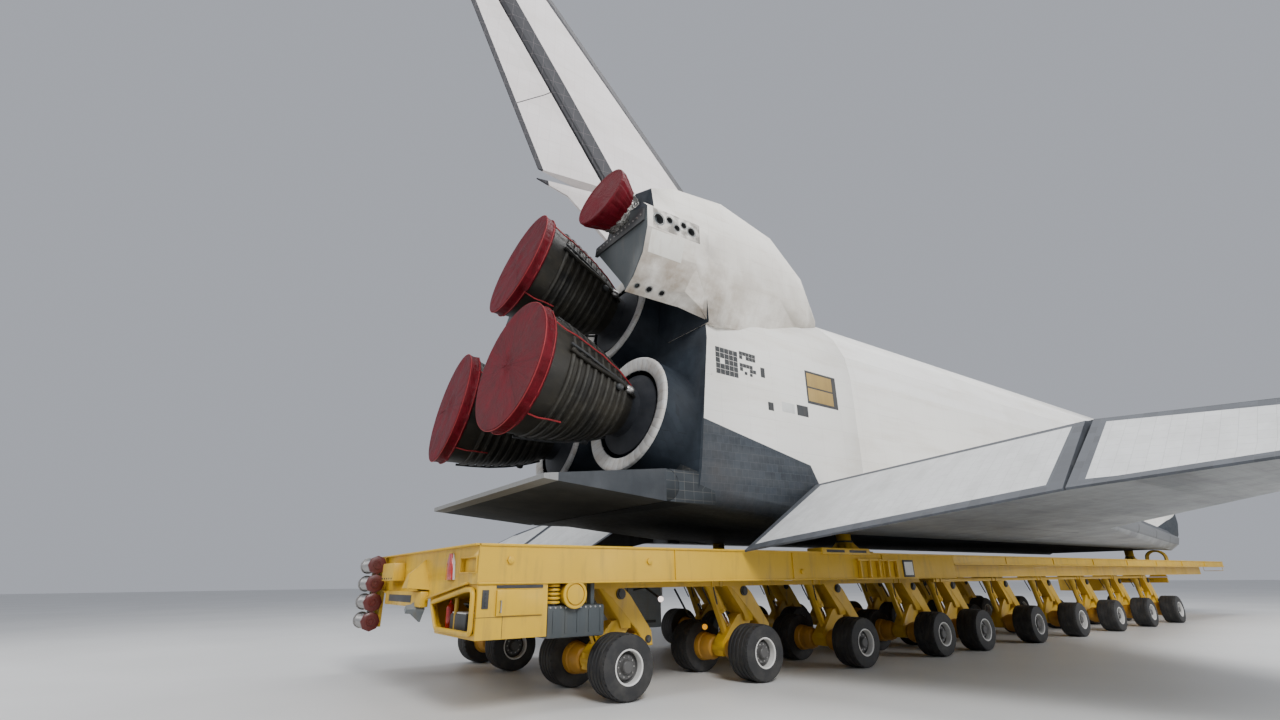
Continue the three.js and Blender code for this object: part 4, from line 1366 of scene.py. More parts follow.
@dataclass(frozen=True)
class QuiltRing(Finish):
    """The white quilted ring round an engine, sewn across into segments."""

    name: str = "quilt_ring"
    white: Colour = (0.5, 0.5, 0.49)
    segments: int = 40

    def shade(self, g: Graph) -> None:
        """Lays out the nodes.

        Args:
            g: The graph that they go into.
        """
        turn, _, _ = g.parts(g.uv)
        wave = g.maths("ABSOLUTE", g.maths("SINE", g.maths("MULTIPLY", turn, math.pi * self.segments)))
        seam = g.maths("LESS_THAN", wave, 0.08)
        stain = g.noise(g.spot, 5.0, 6.0, 0.65)
        tone = g.lay(self.white, stain, 0.4, 0.72, 0.75, (0.4, 0.34, 0.28))
        g.colour(g.fill(tone, seam, 0.55, (0.2, 0.18, 0.16)))
        g.set(roughness=0.8)
        g.bump(g.maths("POWER", wave, 0.5), 0.6, 0.012)
        g.bump(g.noise(g.spot, 40.0, 3.0), 0.3, 0.003)


@dataclass(frozen=True)
class QuiltLiner(Finish):
    """The payload bay's pale quilted liner."""

    name: str = "bay_liner"
    base: Colour = (0.55, 0.54, 0.49)

    def shade(self, g: Graph) -> None:
        """Lays out the nodes.

        Args:
            g: The graph that they go into.
        """
        x, y, _ = g.parts(g.spot)
        seam, quilt = g.tiles(x, y, 0.6, 0.3, 0.02, 0.0)
        puff = g.noise(g.spot, 6.0, 4.0, 0.6)
        tone = g.lay(self.base, quilt, 0, 1, 0.3, tinted(self.base, 0.75))
        g.colour(g.fill(tone, seam, 0.6, (0.25, 0.24, 0.21)))
        g.set(roughness=0.7)
        g.bump(seam, 0.5, 0.01)
        g.bump(puff, 0.4, 0.01)


@dataclass(frozen=True)
class Enamel(Finish):
    """Glossy work paint with grime, chips and rubbed places."""

    base: Colour
    grime: Colour = (0.16, 0.12, 0.06)
    rough: float = 0.38
    metal: float = 0.0
    wear: float = 0.45

    def shade(self, g: Graph) -> None:
        """Lays out the nodes.

        Args:
            g: The graph that they go into.
        """
        cloud = g.noise(g.spot, 1.1, 6.0, 0.62)
        drip = g.noise(g.stretched(g.spot, (5.0, 5.0, 0.7)), 1.3, 5.0, 0.6)
        chip = g.noise(g.spot, 22.0, 5.0, 0.7)
        tone = g.lay(self.base, cloud, 0.35, 0.7, 0.35, tinted(self.base, 0.7))
        tone = g.lay(tone, drip, 0.52, 0.76, self.wear, self.grime)
        tone = g.lay(tone, chip, 0.7, 0.74, 0.8, (0.1, 0.085, 0.07))
        g.colour(tone)
        rough = g.span(cloud, 0.3, 0.7, self.rough - 0.08, self.rough + 0.16)
        g.set(roughness=rough, metallic=self.metal)
        g.bump(g.noise(g.spot, 60.0, 2.0), 0.06, 0.001)


@dataclass(frozen=True)
class TyreRubber(Finish):
    """Scuffed black rubber with dust in it."""

    name: str = "tyre_rubber"
    base: Colour = (0.018, 0.018, 0.019)

    def shade(self, g: Graph) -> None:
        """Lays out the nodes.

        Args:
            g: The graph that they go into.
        """
        dust = g.noise(g.spot, 4.0, 6.0, 0.65)
        g.colour(g.lay(self.base, dust, 0.45, 0.75, 0.6, (0.085, 0.08, 0.072)))
        g.set(roughness=g.span(dust, 0.3, 0.7, 0.62, 0.85))
        g.bump(g.noise(g.spot, 45.0, 3.0), 0.2, 0.002)


@dataclass(frozen=True)
class PlainMetal(Finish):
    """Bare or plated metal with brushed streaks."""

    base: Colour
    rough: float
    brushed: float = 0.15

    def shade(self, g: Graph) -> None:
        """Lays out the nodes.

        Args:
            g: The graph that they go into.
        """
        streak = g.noise(g.stretched(g.spot, (2.0, 2.0, 40.0)), 3.0, 4.0, 0.6)
        cloud = g.noise(g.spot, 2.6, 5.0, 0.6)
        g.colour(g.lay(self.base, cloud, 0.4, 0.75, 0.5, tinted(self.base, 0.55)))
        g.set(metallic=1.0, roughness=g.span(streak, 0.3, 0.7, self.rough, self.rough + self.brushed))
        g.bump(streak, 0.08, 0.001)


@dataclass(frozen=True)
class CrumpledFoil(Finish):
    """Silver foil pressed over a joint."""

    name: str = "crumpled_foil"

    def shade(self, g: Graph) -> None:
        """Lays out the nodes.

        Args:
            g: The graph that they go into.
        """
        fold = g.cells(g.spot, 14.0)
        crease = g.noise(g.spot, 18.0, 5.0, 0.7)
        g.colour(g.lay((0.72, 0.7, 0.67), fold, 0, 1, 1.0, (0.42, 0.4, 0.37)))
        g.set(metallic=0.95, roughness=g.span(crease, 0.3, 0.7, 0.16, 0.4))
        g.bump(crease, 0.9, 0.03)
        g.bump(fold, 0.5, 0.02)


@dataclass(frozen=True)
class DarkGlass(Finish):
    """Thick dark glass with a faint smear."""

    name: str = "dark_glass"

    def shade(self, g: Graph) -> None:
        """Lays out the nodes.

        Args:
            g: The graph that they go into.
        """
        smear = g.noise(g.spot, 3.0, 4.0, 0.6)
        g.colour(g.lay((0.012, 0.015, 0.018), smear, 0.4, 0.7, 1.0, (0.03, 0.034, 0.038)))
        g.set(roughness=g.span(smear, 0.3, 0.7, 0.04, 0.12), coat_weight=0.6)


@dataclass(frozen=True)
class CabinLining(Finish):
    """Satin grey panels of the crew cabin, with joints."""

    name: str = "cabin_lining"
    base: Colour = (0.3, 0.32, 0.31)

    def shade(self, g: Graph) -> None:
        """Lays out the nodes.

        Args:
            g: The graph that they go into.
        """
        x, y, z = g.parts(g.spot)
        joint, pick = g.tiles(g.maths("ADD", x, z), y, 0.3, 0.22, 0.008, 0.0)
        tone = g.lay(self.base, pick, 0, 1, 0.5, tinted(self.base, 0.55))
        g.colour(g.mix(joint, tone, (0.05, 0.05, 0.05)))
        g.set(roughness=0.55)
        g.bump(joint, 0.3, 0.003)


@dataclass(frozen=True)
class LampLens(Finish):
    """A ribbed signal lens or reflector."""

    base: Colour
    glow: float = 0.0

    def shade(self, g: Graph) -> None:
        """Lays out the nodes.

        Args:
            g: The graph that they go into.
        """
        if self.glow:
            g.set(emission_color=self.base, emission_strength=self.glow)
        cell = g.cells(g.spot, 90.0)
        g.colour(g.lay(self.base, cell, 0, 1, 1.0, tinted(self.base, 0.4)))
        g.set(roughness=0.15, coat_weight=0.5)
        g.bump(cell, 0.3, 0.002)


@dataclass
class Finishes:
    """Every material of the object, made once."""

    made: dict[str, Material] = field(default_factory=dict)

    def build(self) -> None:
        """Makes every material that is shared."""
        finishes = {
            "fuselage": ThermalSkin("fuselage_skin"),
            "door": ThermalSkin("door_skin", white=(0.8, 0.79, 0.76)),
            "shield": BaseShield(),
            "stub": StubTile(),
            "flap": FlapSkin(),
            "wing_upper": WingSkin("wing_upper", True),
            "wing_lower": WingSkin("wing_lower", False),
            "elevon_inboard": ElevonSkin("elevon_inboard_skin", (120.5, 98.0), (310.5, 70.0)),
            "elevon_outboard": ElevonSkin("elevon_outboard_skin", (313.5, 69.5), (466.0, 48.0)),
            "fin": FinSkin("fin_skin"),
            "pod": PodSkin(),
            "carbon": CarbonEdge(),
            "bell": BellMetal("bell_metal"),
            "dome": BellMetal("dome_metal", (0.014, 0.016, 0.02), (0.04, 0.042, 0.048)),
            "cover": CoverVinyl(),
            "strap": Enamel("strap_web", (0.26, 0.012, 0.016), grime=(0.1, 0.01, 0.012), rough=0.6),
            "liner": QuiltLiner(),
            "radiator": PlainMetal("radiator_panel", (0.62, 0.63, 0.64), 0.2, 0.1),
            "panel": Enamel("tile_panel", (0.7, 0.68, 0.62), grime=(0.4, 0.34, 0.26), rough=0.6),
            "tan": Enamel("tan_panel", (0.36, 0.24, 0.07), grime=(0.2, 0.13, 0.05), rough=0.55),
            "seat": Enamel("seat_shell", (0.05, 0.055, 0.06), grime=(0.09, 0.08, 0.07), rough=0.6),
            "quilt": QuiltRing(),
            "yellow": Enamel("yellow_enamel", (0.62, 0.375, 0.014)),
            "deck": Enamel("deck_coating", (0.26, 0.19, 0.07), grime=(0.1, 0.085, 0.06), rough=0.7),
            "slate": Enamel("slate_enamel", (0.045, 0.055, 0.06), grime=(0.09, 0.085, 0.07), rough=0.5),
            "grey": Enamel("grey_enamel", (0.17, 0.19, 0.2), rough=0.45),
            "dark": Enamel("dark_enamel", (0.03, 0.032, 0.034), grime=(0.09, 0.08, 0.07), rough=0.5),
            "pale": Enamel("pale_enamel", (0.62, 0.62, 0.6), grime=(0.3, 0.27, 0.22), rough=0.4),
            "reel": Enamel("reel_enamel", (0.1, 0.014, 0.012), grime=(0.06, 0.03, 0.02), rough=0.36),
            "tyre": TyreRubber(),
            "rim": Enamel("rim_enamel", (0.66, 0.65, 0.62), grime=(0.25, 0.21, 0.16), rough=0.42),
            "disc": Enamel("disc_enamel", (0.07, 0.068, 0.066), grime=(0.05, 0.045, 0.04), rough=0.5),
            "orange": Enamel("drum_enamel", (0.5, 0.25, 0.025), grime=(0.12, 0.07, 0.03), rough=0.5),
            "chrome": PlainMetal("chrome_rod", (0.8, 0.8, 0.8), 0.08, 0.06),
            "steel": PlainMetal("bare_steel", (0.42, 0.41, 0.4), 0.32),
            "foil": CrumpledFoil(),
            "glass": DarkGlass(),
            "lining": CabinLining(),
            "red_lens": LampLens("red_lens", (0.6, 0.02, 0.012)),
            "amber_lens": LampLens("amber_lens", (0.8, 0.34, 0.02), 1.0),
            "white_lens": LampLens("white_lens", (0.9, 0.75, 0.72), 2.0),
        }
        for key, finish in finishes.items():
            self.made[key] = finish.build()
        LOG.info("%d finishes", len(self.made))

    def __getitem__(self, key: str) -> Material:
        """The material of a name."""
        return self.made[key]


class Assembly:
    """What each sub-assembly shares: the frame, the finishes and how a piece is handed over."""

    def __init__(self, frame: dict, finishes: Finishes) -> None:
        """Keeps the frame and the finishes.

        Args:
            finishes: The shared materials.
        """
        self.nodes = frame["nodes"]
        self.finishes = finishes

    def body_of(self, node: str) -> str:
        """The body that a node belongs to."""
        return self.nodes[node]["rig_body"]

    def hand_over(
        self, piece: Piece, body: str, slot: Slot, stands_for: Sequence[str] = ()
    ) -> Piece:
        """Makes a piece ride on its body and hides the nodes that it is shown in place of.

        Args:
            piece: The finished piece.
            body: The body that it moves with.
            slot: The record's slot for it. It is not used.
            stands_for: Nodes that it is shown in place of.

        Returns:
            The same piece.
        """
        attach(piece, body)
        if stands_for:
            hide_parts(*stands_for)
        LOG.info("%s: %d faces", piece.name, len(piece.data.polygons))
        return piece

    def fix(self, name: str, pieces: Sequence[Piece], slot: Slot) -> None:
        """Joins pieces into one that rides on the airframe."""
        self.hand_over(Bench.join(name, pieces), "airframe", slot)

    def coat(self, piece: Piece, *keys: str, choose: Optional[Chooser] = None) -> Piece:
        """Gives a piece one finish, or several with what picks one for each face."""
        return Bench.paint(piece, [self.finishes[key] for key in keys], choose)

    def turned(
        self, key: str, rows: Iterable[Row], origin: Vector, axis: Vector, steps: int, closed: bool = False,
        degrees: float = 35.0, unit: float = 1.0, name: str = "turned",
    ) -> Piece:
        """A turned piece in one finish.

        Args:
            key: The finish's name.
            rows: Distance along the axis and radius, one after another.
            origin: The point that distances start from.
            axis: The direction of the axis.
            steps: Faces round the axis.
            closed: Whether the last row joins the first.
            degrees: Edges sharper than this stay sharp.
            unit: What the rows are measured in, in metres.
            name: The piece's name.

        Returns:
            The piece, in place.
        """
        metres = [(along * unit, radius * unit) for along, radius in rows]
        return self.coat(Bench.lathe(name, metres, origin, axis, steps, closed, degrees), key)

    def refine(
        self,
        node: str,
        keys: Sequence[str],
        slot: Slot,
        degrees: float = 30.0,
        choose: Optional[Chooser] = None,
        bevel: float = 0.0,
    ) -> Piece:
        """Shows a smooth copy of a node in its place.

        Args:
            node: The node's name.
            keys: The finishes' names.
            slot: The record's slot.
            degrees: Edges sharper than this stay sharp.
            choose: Picks a finish's number from a face's centre and normal.
            bevel: The radius of its sharp edges.

        Returns:
            The copy.
        """
        made = Bench.refined(self.nodes[node], node + "_skin", degrees, bevel)
        return self.hand_over(self.coat(made, *keys, choose=choose), self.body_of(node), slot, [node])


@dataclass(frozen=True)
class SidePlate:
    """A thin plate on the upright side of the aft body: stations, finish and how far it stands proud."""

    front: float
    back: float
    low: float
    high: float
    key: str
    proud: float = 0.12
    bevel: float = 0.0


@dataclass(frozen=True)
class BaySizes:
    """The payload bay's sizes in inches."""

    front: float = 584.0
    back: float = 1301.0
    radius: float = 93.0
    zo: float = 400.0
    sill: float = 408.0
    frames: int = 13
    frame_radius: float = 1.1


class Airframe(Assembly):
    """The orbiter's skins: fuselage, wings, fin and everything hinged to them."""

    bay: BaySizes = BaySizes()
    side_half: float = 108.0
    plates: tuple[SidePlate, ...] = (
        SidePlate(1332, 1374.5, 374, 404.5, "dark", 0.1),
        SidePlate(1338, 1372.5, 376.5, 388.5, "tan", 0.2, 0.1),
        SidePlate(1338, 1372.5, 390, 402.5, "tan", 0.2, 0.1),
        SidePlate(1375.5, 1390, 361, 370.5, "dark", 0.16, 0.1),
        SidePlate(1393, 1409, 361.5, 370, "pale", 0.12, 0.06),
        SidePlate(1419.5, 1426, 360, 367, "dark", 0.16, 0.1),
        SidePlate(1427, 1432, 387, 395.5, "dark", 0.12),
        SidePlate(1442, 1445, 385, 387.5, "dark", 0.12),
        SidePlate(1448, 1451, 385.5, 388, "dark", 0.12),
        SidePlate(1487.5, 1494, 378.4, 380.2, "dark", 0.12),
    )
    field_tiles: int = 5
    # Each field's front, back, low and high station, and the share of its places that hold a tile
    panel_fields: tuple[tuple[float, float, float, float, float], ...] = (
        (1458.5, 1483, 381, 403.5, 0.94), (1437.5, 1456.5, 388, 405, 0.66),
    )
    thrusters: tuple[Row, ...] = ((300, 14), (312, 14), (300, -14), (312, -14), (306, 0), (318, 0))
    thruster_rows: tuple[Row, ...] = (
        (0.003, 0.0), (0.003, 0.06), (0.008, 0.066), (0.01, 0.078), (0.004, 0.09), (-0.03, 0.09),
    )
    # Each pane's front and back station, and its lowest and highest angle in degrees
    panes: tuple[tuple[float, float, float, float], ...] = (
        (413, 448, 73, 88), (415, 450, 52, 70), (419, 452, 31, 49),
    )
    cabin_axis_zo: float = 358.0
    port_rows: tuple[Row, ...] = (
        (-0.01, 0.0), (0.006, 0.0), (0.008, 0.1), (0.014, 0.12), (0.004, 0.145), (-0.01, 0.145),
    )

    def build(self) -> None:
        """Dresses every skin."""
        self.dress_fuselage()
        self.dress_wings()
        self.dress_tail()
        self.coat(self.nodes["flight_deck"], "lining")
        self.coat(self.nodes["window_glass"], "glass")
        self.side_plates()
        self.bay_frames()
        self.nose_thrusters()
        self.window_frames()

    def dress_fuselage(self) -> None:
        """The nose, the cabin, the bay, its doors and the aft body."""
        bay = self.bay

        def lined(spot: Vector, normal: Vector) -> int:
            """1 inside the bay, and else 0.

            Args:
                spot: The middle of a face.
                normal: Which way it faces.

            Returns:
                The material's number.
            """
            reach = math.hypot(spot.y, spot.z - z_of(bay.zo))
            inside = x_of(bay.back + 1) < spot.x < x_of(bay.front - 1)
            return int(inside and reach < (bay.radius + 0.5) * INCH and normal.z > -0.9)

        def door(spot: Vector, normal: Vector) -> int:
            """1 on the inner face of a bay door, and else 0."""
            return int(normal.y * spot.y + normal.z * (spot.z - z_of(bay.sill)) < 0)

        self.refine("nose_cap", ["carbon"], Slot.CARBON, 40)
        self.refine("forward_fuselage", ["fuselage"], Slot.WHITE_TILE, 28)
        self.refine("mid_fuselage", ["fuselage", "liner"], Slot.WHITE_TILE, 28, lined)
        self.refine("crew_hatch", ["fuselage"], Slot.WHITE_TILE, 30)
        for _, side in SIDES:
            self.refine("bay_door_" + side, ["door", "radiator"], Slot.WHITE_TILE, 28, door)

        def choose(spot: Vector, normal: Vector) -> int:
            """0 for the sides, 1 for the base and rings, 2 for the flap stub's faces.

            Args:
                spot: The middle of a face.
                normal: Which way it faces.

            Returns:
                The material's number.
            """
            aft = (z_of(325) - spot.z) * -0.11
            if spot.x < x_of(1487) and z_of(276) < spot.z < z_of(308) and normal.z > -0.5:
                return 2
            if spot.x < x_of(1490) + aft and abs(spot.y) < 112 * INCH and spot.z > z_of(300):
                return 1 if normal.x < -0.3 or spot.x < x_of(1502) + aft else 0
            return 1 if normal.x < -0.7 or spot.x < x_of(1515) else 0

        self.refine("aft_fuselage", ["fuselage", "shield", "stub"], Slot.WHITE_TILE, 28, choose)
        flap_front = x_of(1546)
        self.refine(
            "body_flap", ["flap", "stub"], Slot.BLACK_TILE, 30, lambda spot, _: int(spot.x > flap_front)
        )

    def plate(self, shape: SidePlate, sign: int) -> Piece:
        """A thin plate laid on the aft body's side.

        Args:
            shape: Where it is and how thick.
            sign: 1 to port, -1 to starboard.

        Returns:
            The plate.
        """
        outline = []
        front, back, low, high = shape.front, shape.back, shape.low, shape.high
        inward = Vector((0, -sign, 0))
        for xo, zo in ((front, low), (back, low), (back, high), (front, high)):
            hit = Bench.touch(self.nodes["aft_fuselage"], station(xo, sign * 200, zo), inward)
            half = abs(hit[0].y) / INCH if hit else self.side_half
            outline.append(station(xo, sign * (half - 0.15), zo))
        push = Vector((0, sign * (shape.proud + 0.15) * INCH, 0))
        piece = Bench.slab("side_plate", outline, push, shape.bevel * INCH)
        return self.coat(piece, shape.key)

    def side_plates(self) -> None:
        """The service panels, vents and black tile fields on both sides of the aft body."""
        for sign, side in SIDES:
            pieces = [self.plate(shape, sign) for shape in self.plates]
            for number, (front, back, low, high, filled) in enumerate(self.panel_fields):
                chance = random.Random(number)
                wide, tall = (back - front) / self.field_tiles, (high - low) / self.field_tiles
                for i in range(self.field_tiles):
                    for j in range(self.field_tiles):
                        if chance.random() < filled:
                            xo, zo = front + i * wide, low + j * tall
                            tile = SidePlate(xo, xo + 0.92 * wide, zo, zo + 0.92 * tall, "dark")
                            pieces.append(self.plate(tile, sign))
            self.fix("service_panels_" + side, pieces, Slot.BLACK_TILE)

    def bay_frames(self) -> None:
        """The ribs round the payload bay and the sills along it."""
        bay = self.bay
        turns = [math.pi + math.pi * i / 20 for i in range(21)]
        arc = [Vector((0, math.cos(t), math.sin(t))) * (bay.radius - 0.6) * INCH for t in turns]
        start = station(bay.front + 22, 0, bay.zo)
        rib = Bench.pipe("bay_ribs", [start + spot for spot in arc], bay.frame_radius * INCH, 8)
        self.coat(rib, "liner")
        step = Vector((-(bay.back - bay.front - 44) / (bay.frames - 1) * INCH, 0, 0))
        pieces = [Bench.row(rib, step, bay.frames)]
        for sign, _ in SIDES:
            line = [station(xo, sign * (bay.radius - 1.2), bay.sill - 6) for xo in (bay.front, bay.back)]
            rail = Bench.pipe("bay_sill", line, 1.2 * INCH, 8)
            pieces.append(self.coat(rail, "steel"))
        self.fix("bay_ribs", pieces, Slot.LINING)

    def nose_thrusters(self) -> None:
        """The dark thruster mouths on top of the nose."""
        skin = self.nodes["forward_fuselage"]
        pieces = []
        for xo, y in self.thrusters:
            hit = Bench.touch(skin, station(xo, y, 520), Vector((0, 0, -1)))
            if hit:
                pieces.append(self.turned("dark", self.thruster_rows, *hit, 24, True, 30))
        self.fix("nose_thrusters", pieces, Slot.BLACK_TILE)

    def window_frames(self) -> None:
        """A dark frame round each window pane, and the hatch's round window."""
        skin = self.nodes["forward_fuselage"]
        pieces = []
        for sign, _ in SIDES:
            for front, back, low, high in self.panes:
                ring = []
                for xo, angle in ((front, low), (front, high), (back, high), (back, low)):
                    turn = math.radians(angle)
                    aim = Vector((0, -sign * math.cos(turn), -math.sin(turn)))
                    xo += -1.6 if xo == front else 1.6
                    hit = Bench.touch(skin, station(xo, 0, self.cabin_axis_zo) - aim * 6, aim)
                    if hit:
                        ring.append(hit[0])
                if len(ring) == 4:
                    middle = (ring[3] + ring[0]) / 2
                    frame = Bench.pipe("pane_frame", [middle, *ring, middle], 0.018, 8, 0.03)
                    pieces.append(self.coat(frame, "dark"))
        self.fix("window_frames", pieces, Slot.BLACK_TILE)
        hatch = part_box("crew_hatch")
        centre = (hatch[0] + hatch[1]) / 2
        hit = Bench.touch(self.nodes["crew_hatch"], centre + PORT, STARBOARD)
        if hit:
            port = self.turned("glass", self.port_rows, *hit, 32, True, 30, name="hatch_port")
            self.hand_over(port, self.body_of("crew_hatch"), Slot.WINDOW)

    def dress_wings(self) -> None:
        """The wings and elevons."""
        for _, side in SIDES:
            skins = ["wing_upper", "wing_lower"]
            self.refine("wing_" + side, skins, Slot.WING_TILE, 26, lambda _, normal: int(normal.z <= 0))
            for place in ("inboard", "outboard"):
                self.refine(f"elevon_{place}_{side}", [f"elevon_{place}"], Slot.WING_TILE, 26)

    def dress_tail(self) -> None:
        """The fin and its split rudder."""
        self.refine("vertical_fin", ["fin"], Slot.WHITE_TILE, 26)
        for _, side in SIDES:
            self.refine("rudder_panel_" + side, ["fin"], Slot.WHITE_TILE, 26)


@dataclass(frozen=True)
class EnginePlace:
    """Where a main engine swings and how its bell leans."""

    name: str
    xo: float
    y: float
    zo: float
    up: float
    out: float

    def origin(self) -> Vector:
        """The gimbal point."""
        return station(self.xo, self.y, self.zo)

    def axis(self) -> Vector:
        """The direction that the bell points."""
        up, out = math.radians(self.up), math.radians(self.out)
        return Vector((-math.cos(up) * math.cos(out), math.sin(out), math.sin(up) * math.cos(out)))


@dataclass(frozen=True)
class BellSizes:
    """The main engine's sizes in inches, along its axis from the gimbal."""

    ball: float = 4.0
    neck: tuple[Row, ...] = ((3.2, 2.4), (11, 2.4), (14, 11), (20, 14), (50, 17.5), (64, 17.5))
    shield_inner: float = 67.6
    shield_outer: float = 69.6
    shield_radius: float = 32.5
    wall: float = 1.6
    outline: tuple[Row, ...] = ((74, 20.5), (90, 28.6), (110, 35.5), (130, 40.3), (150, 43.8), (167, 46))
    bands: int = 9
    first_band: float = 86.0
    band_step: float = 7.0
    band_width: float = 4.4
    band_height: float = 1.35
    # A band's section: share of its half width, and share of its height
    band: tuple[Row, ...] = ((-1.0, 0.0), (-0.7, 0.72), (-0.3, 1.0), (0.3, 1.0), (0.7, 0.72), (1.0, 0.0))
    exit: float = 167.0
    dome_end: float = 73.0
    # Each line's turn round the bell, radius and finish
    lines: tuple[tuple[float, float, str], ...] = (
        (0.15, 1.5, "bell"), (0.24, 0.9, "dark"), (1.2, 0.8, "dark"), (2.6, 1.4, "dark"),
        (4.4, 1.0, "dark"),
    )
    # Each fitting's turn, distance along, size and finish
    fittings: tuple[tuple[float, float, float, str], ...] = (
        (0.2, 84, 3.2, "steel"), (0.05, 96, 2.4, "dark"), (2.5, 88, 3.0, "steel"), (4.4, 92, 2.6, "dark"),
    )
    fitting_rows: tuple[Row, ...] = (
        (-1.2, 0.0), (-1.1, 0.75), (-0.5, 1.0), (0.5, 1.0), (1.0, 0.7), (1.2, 0.3), (1.4, 0.0),
    )
    # Each strap's turn, and how far forward it reaches
    straps: tuple[tuple[float, int], ...] = ((0.5, 76), (1.75, 132), (2.65, 76), (3.9, 140), (5.3, 130))
    cover_start: float = 158.0
    cover_end: float = 168.6
    cover_slack: float = 0.35
    face_radii: tuple[float, ...] = (0.0, 6.0, 12.0, 18.0, 24.0, 29.0, 34.0, 38.0, 41.5)


class MainEngines(Assembly):
    """Three engines with ribbed bells, their red covers and the white rings round them."""

    sizes: BellSizes = BellSizes()
    places: tuple[EnginePlace, ...] = (
        EnginePlace("upper", 1445.0, 0.0, 443.0, 16.0, 0.0),
        EnginePlace("port", 1468.2, 53.0, 342.6, 10.0, 3.5),
        EnginePlace("starboard", 1468.2, -53.0, 342.6, 10.0, -3.5),
    )
    ring_rows: tuple[Row, ...] = (
        (61.4, 36.05), (62.9, 36.1), (63.6, 36.9), (64.3, 39.2), (64.9, 42.0), (65.3, 44.4), (65.3, 45.6),
        (64.8, 46.5), (63.9, 46.95), (62.6, 47.05), (62.2, 46.6),
    )

    def build(self) -> None:
        """Makes the engines, covers and rings."""
        for place in self.places:
            body = "engine_" + place.name
            self.hand_over(self.engine(place), body, Slot.BELL, ["main_engine_" + place.name])
            self.hand_over(self.powerhead(place), body, Slot.STEEL)
            self.hand_over(self.cover(place), body, Slot.COVER, ["engine_cover_" + place.name])
            self.hand_over(self.straps(place), body, Slot.COVER)
            self.hand_over(self.ring(place), "airframe", Slot.WHITE_TILE)

    def lathe(
        self, place: EnginePlace, key: str, name: str, rows: Iterable[Row], steps: int = 96,
        closed: bool = False,
    ) -> Piece:
        """A turned piece on an engine's axis in one finish, its rows in inches."""
        return self.turned(key, rows, place.origin(), place.axis(), steps, closed, 32, INCH, name)

    def radius_at(self, along: float) -> float:
        """The bell's outer radius, on a smooth curve through its outline.

        Args:
            along: Inches from the gimbal.

        Returns:
            The radius in inches.
        """
        rows = self.sizes.outline
        for (a, ra), (b, rb) in zip(rows, rows[1:]):
            if along <= b:
                share = (along - a) / (b - a)
                bow = 0.35 * math.sin(math.pi * share) * (b - a) / 20
                return ra + share * (rb - ra) + bow
        return rows[-1][1]

    def sphere(self, reach: float, radius: float) -> Row:
        """The row of a ball about the gimbal at a radius."""
        return (math.sqrt(reach**2 - radius**2), radius)

    def engine(self, place: EnginePlace) -> Piece:
        """The ball, the domed shield and the ribbed bell.

        Args:
            place: Which engine.

        Returns:
            The piece.
        """
        s = self.sizes
        ball = [(-s.ball * math.cos(a), s.ball * math.sin(a)) for a in (0.0, 0.5, 1.0, math.pi / 2)]
        radii = (18, 22, 26, 30, s.shield_radius)
        dome = [self.sphere(s.shield_inner, r) for r in radii]
        back = [self.sphere(s.shield_outer, r) for r in (s.shield_radius, 30, 26, 22, 19.6)]
        bell: list[Row] = [(74, 20.5), (78, 22.9), (82, 25.0)]
        for i in range(s.bands):
            middle = s.first_band + i * s.band_step
            for across, rise in s.band:
                along = middle + across * s.band_width / 2
                bell.append((along, self.radius_at(along) + rise * s.band_height))
        bell += [(150, self.radius_at(150)), (158, self.radius_at(158)), (s.exit, 46)]
        inside = [(along, self.radius_at(along) - s.wall) for along in (s.exit, 150, 130, 110, 90)]
        rows = [*ball, *s.neck, *dome, *back, *bell, *inside, (56, 3), (56, 0)]
        piece = self.lathe(place, "bell", f"main_engine_{place.name}_bell", rows)
        gimbal, axis, limit = place.origin(), place.axis(), s.dome_end * INCH
        return self.coat(
            piece, "bell", "dome", choose=lambda spot, _: int((spot - gimbal).dot(axis) < limit)
        )

    def beside(self, frame: Matrix, turn: float, along: float, off: float = 2.0) -> Vector:
        """A point beside the bell: how far round it, and inches along it and off it."""
        radius = self.radius_at(along) + off
        return frame @ (Vector((radius * math.cos(turn), radius * math.sin(turn), along)) * INCH)

    def powerhead(self, place: EnginePlace) -> Piece:
        """Lines and fittings that run down the bell's side.

        Args:
            place: Which engine.

        Returns:
            The piece.
        """
        s = self.sizes
        frame = Bench.frame(place.origin(), place.axis())
        pieces = []
        for index, (turn, thick, key) in enumerate(s.lines):
            line = [
                self.beside(frame, turn + 0.03 * math.sin(0.09 * along + index), along)
                for along in (75, 82, 92, 104, 118, 132, 146)
            ]
            pieces.append(self.coat(Bench.pipe("line", line, thick * INCH, 8, 0.05), key))
        for turn, along, size, key in s.fittings:
            spot = self.beside(frame, turn, along, 2.2)
            pieces.append(self.turned(key, s.fitting_rows, spot, place.axis(), 20, unit=size * INCH))
        return Bench.join(f"main_engine_{place.name}_lines", pieces)

    def straps(self, place: EnginePlace) -> Piece:
        """The cord in the cover's hem, and the straps pulled forward over the bell.

        Args:
            place: Which engine.

        Returns:
            The piece.
        """
        s = self.sizes
        axis = place.axis()
        frame = Bench.frame(place.origin(), axis)
        hem = frame.translation + axis * (s.cover_start + 1.7) * INCH
        welt = frame.translation + axis * (s.cover_end - 1.6) * INCH
        start, lip = (self.radius_at(along) + s.cover_slack for along in (s.cover_start, s.exit))
        pieces = [
            Bench.hoop("hem_cord", (start + 1.9) * INCH, 0.4 * INCH, hem, axis, 96, 6),
            Bench.hoop("welt", (lip + 1.25) * INCH, 0.42 * INCH, welt, axis, 120, 6),
        ]
        for turn, reach in s.straps:
            line = [
                self.beside(frame, turn + 0.02 * math.sin(along), along) for along in range(159, reach, -9)
            ]
            pieces.append(Bench.pipe("strap", line, 0.55 * INCH, 6, 0.04))
        return self.coat(Bench.join(f"engine_cover_{place.name}_straps", pieces), "strap")

